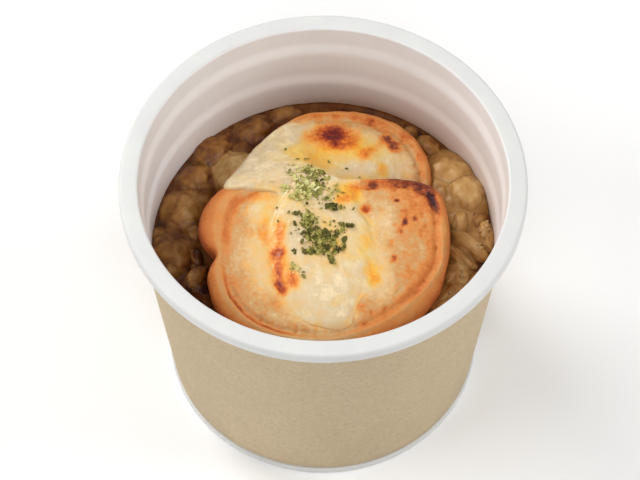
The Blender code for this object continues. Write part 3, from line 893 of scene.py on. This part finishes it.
def slice_browning(angle, inward, on_face, band, heat, melt, uneven):
    """Browning with a toasted band inside the edge, a light shoulder and a crust darker lower down."""
    _, medium, small, pits = uneven
    shoulder = bell(inward, -0.0002, 0.0009) * (0.09 + 0.08 * nearness(angle, 190, 60))
    crust_heat = CRUST_HEAT + 0.15 * smooth_step(-0.0022, -0.0060, inward)
    crust_heat += 0.05 * nearness(angle, 170, 35) - 0.04 * nearness(angle, -40, 50)
    face_heat = FACE_HEAT * (1 - melt) + CHEESE_HEAT * melt
    base = face_heat * on_face + crust_heat * (1 - on_face) - shoulder
    mottled = 0.04 * medium * (1 - melt) + (0.05 * small * (1 - melt) + 0.14 * pits) * on_face
    return base + band * (1 + 0.2 * medium) + mottled * (1 - np.clip(3 * band, 0, 0.7)) + heat


def build_slice(name, node, shape, seed, material):
    """A slice with an uneven toasted face, a groove inside its edge, pores and a wrinkled crust."""
    angles = full_turn(SLICE_SEGMENTS)
    levels = slice_levels(shape, angles)
    rings = [ring(radius, angles, height) for radius, height, _ in levels]
    local = np.vstack(rings + [[(0, 0, -SLICE_THICKNESS)], [(0, 0, 0)]])
    depths = [np.broadcast_to(depth, SLICE_SEGMENTS) for _, _, depth in levels]
    inward = np.concatenate(depths + [[UNDERSIDE_IN, 0.030]])
    faces = ring_skin(rings)
    flat = shape.place(local)
    heat, melt, yellow = baked_fields(flat[:, 0], flat[:, 1], shape)
    uneven = slice_grain(local, melt, seed)
    on_face = smooth_step(0.0, 0.0012, inward)
    relief = slice_relief(inward, on_face, heat, melt, uneven)
    points = flat + mesh_normals(flat, faces) * relief[:, None]
    piece = mesh_piece(name, points, faces, material)

    angle = np.arctan2(local[:, 1], local[:, 0])
    band = shape.band(angle, inward)
    paint(piece, "browning", slice_browning(angle, inward, on_face, band, heat, melt, uneven))
    paint(piece, "melt", melt * (0.25 + 0.75 * on_face) * (1 - np.clip(band * 2.2, 0, 0.8)))
    paint(piece, "yellow", yellow)
    paint(piece, "smooth", np.clip(1 - on_face + 4 * band, 0, 1))
    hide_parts(node)
    return piece


# ------------------------------------------------------------------ cheese

CHEESE_MIDDLE = (-3.0, 16.0)
CHEESE_THICKNESS = 0.0014
CHEESE_RIPPLE = 0.00026
CHEESE_FEATHER = 0.0095      # how far in from its edge the cheese reaches its full thickness
CHEESE_ROUND = 0.0014        # the same where its edge is blunt
CHEESE_SINK = 0.0006         # how far its underside sinks into the faces of the bread
CHEESE_OVERHANG = 0.0022     # how far it runs on level beyond the front slice
CHEESE_RAMP = 1.1            # how steeply it then falls towards the back slice
CHEESE_RAMP_ROUND = 0.0030
CHEESE_BLEND = 0.0120
# Between these it bridges the step between the slices less and less, from left to right
CHEESE_BRIDGE = (-0.006, 0.011)
CHEESE_SEGMENTS = 420
CHEESE_ROWS = 84
# Where the edge is blunt, as patches in millimetres in plan
CHEESE_BLUNT = [
    (-22.5, 24.5, 20, 6, 52, 1.6), (-23, 8.5, 10, 3, 0, 1.3), (1, -34.5, 7, 3.5, 8, 0.7),
]


def blunt_at(x, y):
    return np.clip(patches_at(x, y, CHEESE_BLUNT), 0, 1)


def cheese_rest(x, y):
    """Underside of the cheese over flat slices, with a ramp down behind the front slice."""
    bridging = smooth_step(CHEESE_BRIDGE[1], CHEESE_BRIDGE[0], x)
    outside = np.maximum(FRONT_SLICE.outside(x, y) - CHEESE_OVERHANG * bridging, 0)
    slope = CHEESE_RAMP + 6 * (1 - bridging)
    fall = slope * outside * outside / (outside + CHEESE_RAMP_ROUND * bridging + 1e-6)
    on_front = FRONT_SLICE.plane_height(y) - fall
    return larger(on_front, BACK_SLICE.plane_height(y), CHEESE_BLEND * bridging + 0.0005)


def relaxed(heights, floor, rounds):
    """Heights of the cheese's rings of points settled smoothly, nowhere below the floor."""
    for _ in range(rounds):
        grid = heights[:-1].reshape(CHEESE_ROWS, CHEESE_SEGMENTS)
        padded = np.vstack((np.full(CHEESE_SEGMENTS, heights[-1]), grid, grid[-1]))
        mean = (padded[:-2] + padded[2:] + np.roll(grid, 1, axis=1) + np.roll(grid, -1, axis=1)) / 4
        heights = np.maximum(np.append(mean.ravel(), grid[0].mean()), floor)
    return heights


def cheese_plan():
    """Points in plan in rings out to the ragged edge, then the middle, and their distance from the edge."""
    middle = np.array(CHEESE_MIDDLE) * MM
    outline = closed_curve(CHEESE_EDGE, CHEESE_SEGMENTS) * MM
    outward = outline - middle
    reach = np.linalg.norm(outward, axis=1)
    ragged = plan_noise(outline[:, 0], outline[:, 1], 0.005, 2, 21)
    ragged *= 1 - 0.7 * blunt_at(outline[:, 0], outline[:, 1])
    outline = middle + outward * (1 + 0.0012 * ragged / reach)[:, None]
    shares = 1 - (1 - np.arange(1, CHEESE_ROWS + 1) / CHEESE_ROWS) ** 1.25
    plan = np.vstack([middle + (outline - middle) * share for share in shares] + [[middle]])
    from_edge = np.concatenate([reach * (1 - share) for share in shares] + [[0.030]])
    return plan, from_edge


def cheese_heights(plan, from_edge, trees):
    """Heights of the underside and of the top of the sheet, lying on the bread."""
    x, y = plan[:, 0], plan[:, 1]
    landed = np.array([hit[0].z if hit else 0.0 for hit in (drop_on(trees, px, py) for px, py in plan)])
    rest = relaxed(np.maximum(cheese_rest(x, y) - CHEESE_SINK, landed), landed, 40)
    blunt = blunt_at(x, y)
    hugging = smooth_step(0.0040, 0.0005, from_edge) * (1 - blunt)
    rest = rest * (1 - hugging) + landed * hugging
    depth_in = np.clip(from_edge / (CHEESE_FEATHER * (1 - blunt) + CHEESE_ROUND * blunt), 0, 1)
    feathered = depth_in ** 3 * (10 - 15 * depth_in + 6 * depth_in ** 2)
    body = feathered * (1 - blunt) + np.sqrt(1 - (1 - depth_in) ** 2) * blunt
    puddled, rippled = plan_noise(x, y, 0.010, 2, 22), plan_noise(x, y, 0.0032, 3, 23)
    thickness = (CHEESE_THICKNESS * (1 + 0.30 * puddled) + CHEESE_RIPPLE * rippled) * body
    settled = relaxed(rest + thickness, landed + 0.3 * thickness, 60)
    deep = smooth_step(0.0010, 0.0045, from_edge)
    lumps = 0.00022 * rippled + 0.00016 * plan_noise(x, y, 0.0015, 2, 25)
    surface = (rest + thickness) * (1 - deep) + (settled + lumps) * deep
    return rest - CHEESE_SINK, surface + 0.00003


def paint_cheese(piece, points):
    """Browning and kind of cheese, following whichever slice is below."""
    x, y = points[:, 0], points[:, 1]
    over_front = smooth_step(0.0010, -0.0020, FRONT_SLICE.outside(x, y))
    both = zip(baked_fields(x, y, FRONT_SLICE), baked_fields(x, y, BACK_SLICE))
    heat, melt, yellow = (front * over_front + back * (1 - over_front) for front, back in both)
    blunt = blunt_at(x, y)
    melt = np.maximum(melt, blunt)
    heat = heat * (1 - 0.7 * blunt)
    paint(piece, "browning", FACE_HEAT * (1 - melt) + CHEESE_HEAT * melt + heat)
    paint(piece, "melt", melt)
    paint(piece, "yellow", yellow)


def build_cheese(bread, material):
    """Melted sheet over both slices, smooth and thick inside, feathered at most of its edge."""
    plan, from_edge = cheese_plan()
    low, high = cheese_heights(plan, from_edge, [tree_of(piece) for piece in bread])
    ring_ends = np.arange(1, CHEESE_ROWS + 1) * CHEESE_SEGMENTS
    under, top = (np.split(np.column_stack((plan, heights)), ring_ends) for heights in (low, high))
    levels = under[:-1] + top[-2::-1]
    points = np.vstack(levels + [under[-1], top[-1]])
    piece = mesh_piece("melted_cheese", points, ring_skin(levels), material)
    for polygon in piece.data.polygons[ring_ends[-2]:ring_ends[-1]]:
        polygon.use_smooth = False
    paint_cheese(piece, points)
    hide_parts("cheese")
    return piece


# ------------------------------------------------------------ broth and onions

def build_broth(material):
    """Broth up to its level, curling up a little at the wall."""
    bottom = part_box("broth")[0].z
    wall = inner_radius(BROTH_LEVEL) - 0.00005
    rounding = 0.0030
    floor_edge = inner_radius(bottom + rounding) - CLEARANCE
    profile = [
        (floor_edge * 0.5, bottom), (floor_edge - rounding, bottom),
        (floor_edge - 0.0009, bottom + 0.0009), (floor_edge, bottom + rounding),
        (wall, BROTH_LEVEL - 0.004), (wall + 0.00003, BROTH_LEVEL + 0.0007),
    ]
    rows = 64
    for row in range(1, rows):
        inward = wall * row / rows
        profile.append((wall - inward, BROTH_LEVEL + 0.0006 * math.exp(-inward / 0.0012)))
    levels = turned(profile)
    points = np.vstack(levels + [[(0, 0, bottom)], [(0, 0, BROTH_LEVEL)]])
    on_top = points[:, 2] > BROTH_LEVEL - 0.001
    points[:, 2] += on_top * 0.00022 * noise_at(points, 0.006, 2, 31)
    broth = mesh_piece("broth_filling", points, ring_skin(levels), material)
    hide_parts("broth")
    return broth


# Large pieces of onion: (direction round the cup in degrees, distance from its axis, top, length,
# width and height of the piece, its turn in degrees, shade), sizes in millimetres
LEFT_PIECES = [
    (184, 45.8, 62.2, 20, 12.5, 9, 125, 0.44), (151, 44.8, 61.8, 15.5, 12, 8, 35, 0.4),
    (165, 43.4, 62.8, 13.5, 14, 9, 10, 0.56), (136, 35.6, 63.6, 17, 12, 9.5, 58, 0.8),
    (136, 46.9, 61, 17, 11, 7, 45, 0.4), (118, 46.6, 60.6, 20, 10.5, 7, 27, 0.38),
    (105, 47.4, 60, 13, 8, 5, 12, 0.4), (198, 39.8, 61, 9.5, 5.2, 6, 62, 0.72),
    (206, 45.6, 60.4, 12, 8.5, 7, 120, 0.32), (220, 45, 60, 13, 8.5, 7, 130, 0.3),
    (232, 44.2, 59.6, 10, 7.5, 6, 140, 0.32),
]
RIGHT_PIECES = [
    (20, 46.2, 65, 14.5, 12.5, 9.5, 104, 0.72), (26, 40.6, 62.9, 15, 8.5, 8, 104, 0.6),
    (32, 45.2, 64.2, 17, 11.5, 8, -28, 0.68), (8, 42.2, 63, 11, 5, 5.5, 84, 0.7),
    (10, 46.8, 61, 8.5, 7, 6, 80, 0.44), (-2, 43.6, 62.7, 15.5, 5.4, 6, -42, 0.7),
    (-8, 40.8, 61.8, 13.5, 5, 6, -46, 0.62), (2, 48.6, 61.8, 12, 5.5, 6, 92, 0.64),
    # The piece at -17 degrees is painted pale as painted light, where the front slice shades it.
    (-17, 42.3, 61.9, 11, 8, 7, 76, 0.74), (-18, 46.6, 60.8, 10, 7.5, 6.5, 60, 0.54),
    (-25, 42.6, 61.6, 14, 9.5, 7.5, 44, 0.62), (-33, 43.6, 60.8, 12, 9, 7, 40, 0.62),
    (-44, 43.8, 60.2, 12, 8.5, 6.5, 35, 0.48), (-54, 44.6, 59.6, 9, 6.5, 5.5, 25, 0.46),
    (-27, 38.4, 60.6, 11, 8.5, 7, 60, 0.6), (47, 46.4, 61, 11, 7.5, 7, -40, 0.5),
    (56, 47.4, 59.6, 7, 5.5, 5, -25, 0.44),
]
# First and last direction of each heap, in degrees
LEFT_ENDS = (100, 240)
RIGHT_ENDS = (-60, 60)
FILL_PIECES = 28             # small pieces between the large ones of each heap
FILL_TOP = 58.0              # millimetres, the lowest that they lie
CORE_BELOW = 1.4             # millimetres from the top of a large piece to the core under it


def onion_piece(length, width, height, segments, seed):
    """Points and faces of one soft, bent and dented piece of an onion layer, lying along X."""
    rows = segments // 2
    directions = []
    for row in range(1, rows):
        level = ring(1.0, full_turn(segments), math.tan(math.pi * row / rows - math.pi / 2))
        directions.append(level / np.linalg.norm(level, axis=1)[:, None])
    unit = np.vstack(directions + [[(0, 0, -1)], [(0, 0, 1)]])
    boxy = (np.abs(unit) ** 2.2).sum(1) ** (-1 / 2.2)
    lumps = noise_at(unit, 0.80, 2, seed)
    dents = noise_at(unit, 0.34, 2, seed + 0.5)
    ribs = noise_at(unit * (0.5, 2.0, 1.0), 0.30, 2, seed + 0.7)
    points = unit * (boxy * (1 + 0.21 * lumps + 0.08 * dents + 0.02 * ribs))[:, None]
    points *= np.array([length, width, height]) / 2
    points[:, 2] -= 0.8 * height * ((points[:, 0] / length) ** 2 + 0.6 * (points[:, 1] / width) ** 2)
    return points, ring_skin(directions)


def heap_fill(ends, large, seed):
    """Smaller pieces scattered over a heap, mostly sunk between its large ones."""
    dice = random.Random(seed)
    pieces = []
    for _ in range(FILL_PIECES):
        direction = dice.uniform(ends[0] - 4, ends[1] + 4)
        distance = dice.uniform(38.0, 49.5)
        size = dice.uniform(6.0, 10.5)
        near = min(large, key=lambda piece: abs(piece[0] - direction) + abs(piece[1] - distance) / 2)
        top = FILL_TOP + (near[2] - FILL_TOP) * dice.uniform(0.25, 0.62)
        width, shade = size * dice.uniform(0.55, 0.80), min(near[7], 0.62) + dice.uniform(-0.12, 0.04)
        pieces.append((direction, distance, top, size, width, size * 0.6, dice.uniform(0, 180), shade))
    return pieces


def build_onions(name, node, ends, large, seed, soaked, material):
    """All the loose pieces of one heap, joined, each with painted shade: paler towards its top, darker below.

    Pieces close to the bread are painted darker by the given amount, as painted shade in the gap between the
    heap and the bread.
    """
    heap = Joined()
    for index, piece in enumerate(large + heap_fill(ends, large, seed)):
        direction, distance, top, length, width, height, turn, shade = piece
        segments = 64 if index < len(large) else 36
        shape, skin = onion_piece(length, width, height, segments, seed + 3 * index)
        tilt = Matrix.Rotation(0.16 * math.sin(index * 2.4), 3, "X")
        tilt = tilt @ Matrix.Rotation(0.12 * math.cos(index * 1.7), 3, "Y")
        placed = shape @ np.array(Matrix.Rotation(math.radians(turn), 3, "Z") @ tilt).T
        placed[:, :2] += spot(direction, distance + 1.2 * smooth_step(43.5, 45.5, distance))
        placed[:, 2] += top - placed[:, 2].max()
        below_top = (top - placed[:, 2]) / height
        placed *= MM
        limit = inner_radius(placed[:, 2]) - 0.00015
        placed[:, :2] *= np.minimum(1, limit / np.hypot(placed[:, 0], placed[:, 1]))[:, None]
        painted_gap_shade = smooth_step(0.0115, 0.0065, FRONT_SLICE.outside(placed[:, 0], placed[:, 1]))
        # Painted shade: each piece darker towards its underside, and darker next to the bread where the gap
        # lies in shade.
        shade = shade - 0.02 - 0.32 * below_top - soaked * painted_gap_shade
        heap.add(placed, skin, shade + 0.10 * noise_at(placed, 0.004, 2, index))
    piece = heap.piece(name, "stewed_onion", material)
    paint(piece, "shade", np.concatenate(heap.shades))
    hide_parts(node)
    return piece


def core_humps(grid, large):
    """Height and shade of a core's points in plan, with a hump below each large piece."""
    surface = np.full(len(grid), BROTH_LEVEL + 0.0004)
    shade = np.full(len(grid), 0.16)
    for direction, distance, top, length, width, _, _, piece_shade in large:
        centre = spot(direction, distance) * MM
        away = np.hypot(grid[:, 0] - centre[0], grid[:, 1] - centre[1]) / ((length + width) * MM / 4 + 0.001)
        hump = (top - CORE_BELOW) * MM - 0.0032 * away ** 2
        higher = smooth_step(-0.0008, 0.0008, hump - surface)
        # Painted shade: the core under a large piece is a little darker than the piece.
        shade = shade * (1 - higher) + (piece_shade - 0.14) * higher
        surface = larger(surface, hump, 0.0016)
    return surface, shade


def build_onion_core(name, node, ends, large, material):
    """Soft mass under the loose pieces, humped below each of them."""
    steps, rows, seed = 150, 36, ends[0]
    outer, edge_width, middle_width = inner_radius(BROTH_LEVEL) - 0.0003, 0.0010, 0.0135
    fullness = 1 - np.abs(np.linspace(-1, 1, steps + 1)) ** 3.5
    grid = []
    for angle, full in zip(np.radians(np.linspace(*ends, steps + 1)), fullness):
        radii = outer - (edge_width + middle_width * full) * np.linspace(0, 1, rows + 1)
        grid.append(ring(radii, np.full(rows + 1, angle), 0.0))
    grid = np.vstack(grid)
    surface, shade = core_humps(grid, large)
    relief = 0.0005 * noise_at(grid, 0.005, 3, seed) + 0.00015 * noise_at(grid, 0.0014, 2, seed)
    from_wall = np.tile(np.arange(rows + 1), steps + 1) / rows
    surface = BROTH_LEVEL + (surface + relief - BROTH_LEVEL) * smooth_step(1.02, 0.86, from_wall)
    top, bottom = grid.copy(), grid.copy()
    top[:, 2] = surface
    outward = 1 + WALL_SLOPE * (surface - BROTH_LEVEL) * (1 - from_wall) / np.hypot(grid[:, 0], grid[:, 1])
    top[:, :2] *= outward[:, None]
    bottom[:, :2] *= 0.985
    bottom[:, 2] = HEAP_BOTTOM
    points = np.vstack((bottom, top))
    core = mesh_piece(name, points, slab_skin(steps, rows), material)
    paint(core, "shade", np.tile(shade, 2) + 0.08 * noise_at(points, 0.004, 2, seed + 1))
    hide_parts(node)


# ------------------------------------------------------------- parsley and oil

# Clusters of parsley, in millimetres in plan: (across, along, spread across, spread along, flakes,
# smallest and largest flake, mean shade)
PARSLEY_CLUSTERS = [
    (-5.2, 8.2, 5, 4.2, 120, 1, 2.6, 0.76), (-3.4, 15.2, 4.2, 2.4, 44, 1.2, 2.7, 0.62),
    (-1.6, 10.5, 4.4, 4.4, 34, 1, 2.2, 0.34), (-4.5, -3.6, 2.5, 4.4, 84, 1, 2.3, 0.4),
    (0.2, -9.2, 4.8, 4, 112, 1.1, 2.6, 0.38), (3.2, 2.2, 2.4, 0.7, 14, 1.4, 2.8, 0.24),
    (6.7, -4.2, 1.4, 1.1, 9, 1.2, 2.4, 0.24), (-5.2, -12.4, 2.6, 0.8, 13, 1.1, 2.2, 0.3),
    (4.9, -11.8, 1.1, 0.8, 6, 1.2, 2.2, 0.22), (2.3, -14.8, 1, 2, 10, 1, 2.2, 0.36),
    (-8.8, -17.6, 1.2, 1.2, 12, 1, 1.8, 0.66), (-5.8, -20, 0.8, 0.8, 5, 0.8, 1.4, 0.45),
    (0, -4, 8, 10, 40, 0.5, 1.2, 0.45), (-2, 10, 9, 7, 40, 0.5, 1.2, 0.55),
]
# Single flakes: (across, along, size, shade)
PARSLEY_STRAYS = [
    (-11.5, 26.9, 1.7, 0.3), (7.3, 22, 1.6, 0.3), (1.7, 24.2, 1.7, 0.5), (-5.1, 21.2, 2.4, 0.2),
    (-7.8, 21.8, 1.3, 0.3), (11.2, 19.2, 1.3, 0.6), (-13.8, 2.4, 1.2, 0.4), (-10.2, 0.4, 1.6, 0.4),
    (-13.5, -2.5, 1.2, 0.4), (9, 1.4, 1.5, 0.3), (9.2, -4.2, 1.3, 0.4), (10.9, 13.7, 1.2, 0.4),
]
# Patches of bubbles and fat: (direction in degrees, distance from the axis, spread, drops), millimetres
OIL_PATCHES = [
    (2, 49.5, 2.6, 26), (-4, 47.5, 1.5, 10), (-24, 44.5, 3, 14), (-80, 47, 6, 14),
]


def flake(dice, size):
    """Points and faces of one curled, ragged leaf fragment lying flat."""
    corners = dice.randint(7, 10)
    stretch, curl = dice.uniform(0.45, 0.9), dice.uniform(-0.5, 0.7)
    half_thickness = 0.00009
    rim = []
    for corner in range(corners):
        angle = math.tau * (corner + dice.uniform(-0.3, 0.3)) / corners
        reach = size / 2 * dice.uniform(0.55, 1.0)
        rim.append((reach * math.cos(angle), reach * stretch * math.sin(angle)))
    leaf = rim + [(x * 0.5, y * 0.5) for x, y in rim] + [(0, 0)]
    raised = [(x, y, curl * (x * x - 0.6 * y * y) / size) for x, y in leaf]
    points = [(x, y, z + side) for side in (-half_thickness, half_thickness) for x, y, z in raised]
    faces = []
    for i in range(corners):
        j = (i + 1) % corners
        faces += [(i, corners + i, corners + j, j), (corners + i, 2 * corners, corners + j)]
        upper = [(i, j, corners + j, corners + i), (corners + i, corners + j, 2 * corners)]
        faces += [tuple(len(leaf) + corner for corner in face) for face in upper]
        faces.append((i, j, len(leaf) + j, len(leaf) + i))
    return np.array(points), faces


def parsley_spots(dice):
    """Place in plan, size and shade of each flake, in millimetres."""
    spots = []
    for across, along, wide, deep, count, smallest, largest, shade in PARSLEY_CLUSTERS:
        for _ in range(count):
            x, y = dice.gauss(across, wide * 0.62), dice.gauss(along, deep * 0.62)
            spots.append((x, y, dice.uniform(smallest, largest), shade + dice.uniform(-0.34, 0.32)))
    return spots + PARSLEY_STRAYS


def build_parsley(name, ground, material):
    """Dried parsley flakes strewn down the middle, each lying on the surface below it."""
    dice = random.Random(5)
    trees = [tree_of(piece) for piece in ground]
    flakes = Joined()
    for x, y, size, shade in parsley_spots(dice):
        landed = drop_on(trees, x * MM, y * MM)
        if landed is None:
            continue
        shape, skin = flake(dice, size * MM)
        lean = Matrix.Rotation(dice.gauss(0, 0.32), 3, "X") @ Matrix.Rotation(dice.gauss(0, 0.32), 3, "Y")
        spin = Matrix.Rotation(dice.uniform(0, math.tau), 3, "Z")
        point, normal = landed
        facing = Vector((0, 0, 1)).rotation_difference(normal).to_matrix()
        lifted = np.array(point) + np.array(normal) * dice.uniform(0.00012, 0.00060)
        flakes.add(shape @ np.array(facing @ lean @ spin).T + lifted, skin, shade)
    piece = flakes.piece(name, None, material)
    piece.data.shade_flat()
    paint(piece, "shade", np.concatenate(flakes.shades))


def build_oil(name, ground, material):
    """Small domes of bubbles and fat lying on the broth and onions."""
    dice = random.Random(11)
    trees = [tree_of(piece) for piece in ground]
    segments, rows, rise = 14, 4, 0.6
    drops = Joined()
    for direction, distance, wide, count in OIL_PATCHES:
        centre = spot(direction, distance)
        for _ in range(count):
            x, y = dice.gauss(centre[0], wide * 0.5) * MM, dice.gauss(centre[1], wide * 0.8) * MM
            size = dice.uniform(0.25, 0.75) * MM
            landed = drop_on(trees, x, y)
            if landed is None or math.hypot(x, y) > inner_radius(BROTH_LEVEL) - size:
                continue
            profile = [(size * math.cos(t), rise * size * math.sin(t)) for t in np.linspace(-0.6, 1.35, rows)]
            rings = turned(profile, segments)
            dome = np.vstack(rings + [[(0, 0, -0.4 * size)], [(0, 0, rise * size)]])
            drops.add(dome + np.array(landed[0]), ring_skin(rings))
    drops.piece(name, "broth", material)


# ------------------------------------------------------------------- stage

# Softboxes a metre away: (name, direction in degrees, height in degrees, size in metres, watts)
SOFTBOXES = [
    ("back_left", 135, 37, 0.50, 5.5), ("right", 0, 35, 0.60, 4.75), ("left", 197, 42, 0.60, 3.6),
    ("front", 272, 46, 0.60, 3.4), ("top", 0, 89, 0.60, 1.2),
]
LIT_POINT = Vector((0, 0, 0.05))
WORLD_STRENGTH = 0.03
FLOOR_HALF = 3.0
CAMERA_PLACE = (-0.000926, -0.41941, 0.730)
CAMERA_TILT = math.radians(32.024)   # from straight down
CAMERA_LENS = 146.25                 # millimetres, on a sensor 36 wide


def build_floor():
    """Pale floor just under the foot."""
    mesh = bpy.data.meshes.new("floor")
    corners = [(x * FLOOR_HALF, y * FLOOR_HALF, 0) for x, y in ((-1, -1), (1, -1), (1, 1), (-1, 1))]
    mesh.from_pydata(corners, [], [(0, 1, 2, 3)])
    mesh.materials.append(floor_material())
    floor = bpy.data.objects.new("floor", mesh)
    floor.location.z = -0.0001
    bpy.context.scene.collection.objects.link(floor)


def build_lights():
    """Soft studio lights and a faint white surround."""
    for name, direction, height, width, power in SOFTBOXES:
        data = bpy.data.lights.new(name, "AREA")
        data.shape = "DISK"
        data.size = width
        data.energy = power
        light = bpy.data.objects.new(name, data)
        turn, lift = math.radians(direction), math.radians(height)
        outward = Vector((math.cos(turn) * math.cos(lift), math.sin(turn) * math.cos(lift), math.sin(lift)))
        light.location = LIT_POINT + outward
        light.rotation_euler = (-outward).to_track_quat("-Z", "Y").to_euler()
        bpy.context.scene.collection.objects.link(light)
    world = bpy.data.worlds.new("studio")
    world.use_nodes = True
    background = world.node_tree.nodes["Background"]
    background.inputs["Color"].default_value = (1, 1, 1, 1)
    background.inputs["Strength"].default_value = WORLD_STRENGTH
    bpy.context.scene.world = world


def build_camera():
    """Camera above the front of the cup, looking down into it."""
    data = bpy.data.cameras.new("camera")
    data.lens = CAMERA_LENS
    data.sensor_width = 36.0
    data.clip_start = 0.01
    camera = bpy.data.objects.new("camera", data)
    camera.location = CAMERA_PLACE
    camera.rotation_euler = (CAMERA_TILT, 0, 0)
    bpy.context.scene.collection.objects.link(camera)
    bpy.context.scene.camera = camera
    bpy.context.scene.view_settings.view_transform = "Standard"


def main():
    build_floor()
    build_lights()
    build_camera()
    build_cup(white_plastic())
    build_sleeve(kraft_card())
    broth = build_broth(broth_material())
    toast = toast_material()
    back = build_slice("back_slice", "bread_back", BACK_SLICE, 1, toast)
    front = build_slice("front_slice", "bread_front", FRONT_SLICE, 7, toast)
    cheese = build_cheese([back, front], cheese_material())
    onion = stewed_onion()
    build_onion_core("left_onion_core", "onions_left", LEFT_ENDS, LEFT_PIECES, onion)
    build_onion_core("right_onion_core", "onions_right", RIGHT_ENDS, RIGHT_PIECES, onion)
    left = build_onions("left_onion_pieces", "onions_left", LEFT_ENDS, LEFT_PIECES, 100, 0.32, onion)
    right = build_onions("right_onion_pieces", "onions_right", RIGHT_ENDS, RIGHT_PIECES, 300, 0.0, onion)
    build_parsley("parsley_flakes", [back, front, cheese], parsley_material())
    build_oil("oil_drops", [broth, left, right], oil_material())


main()
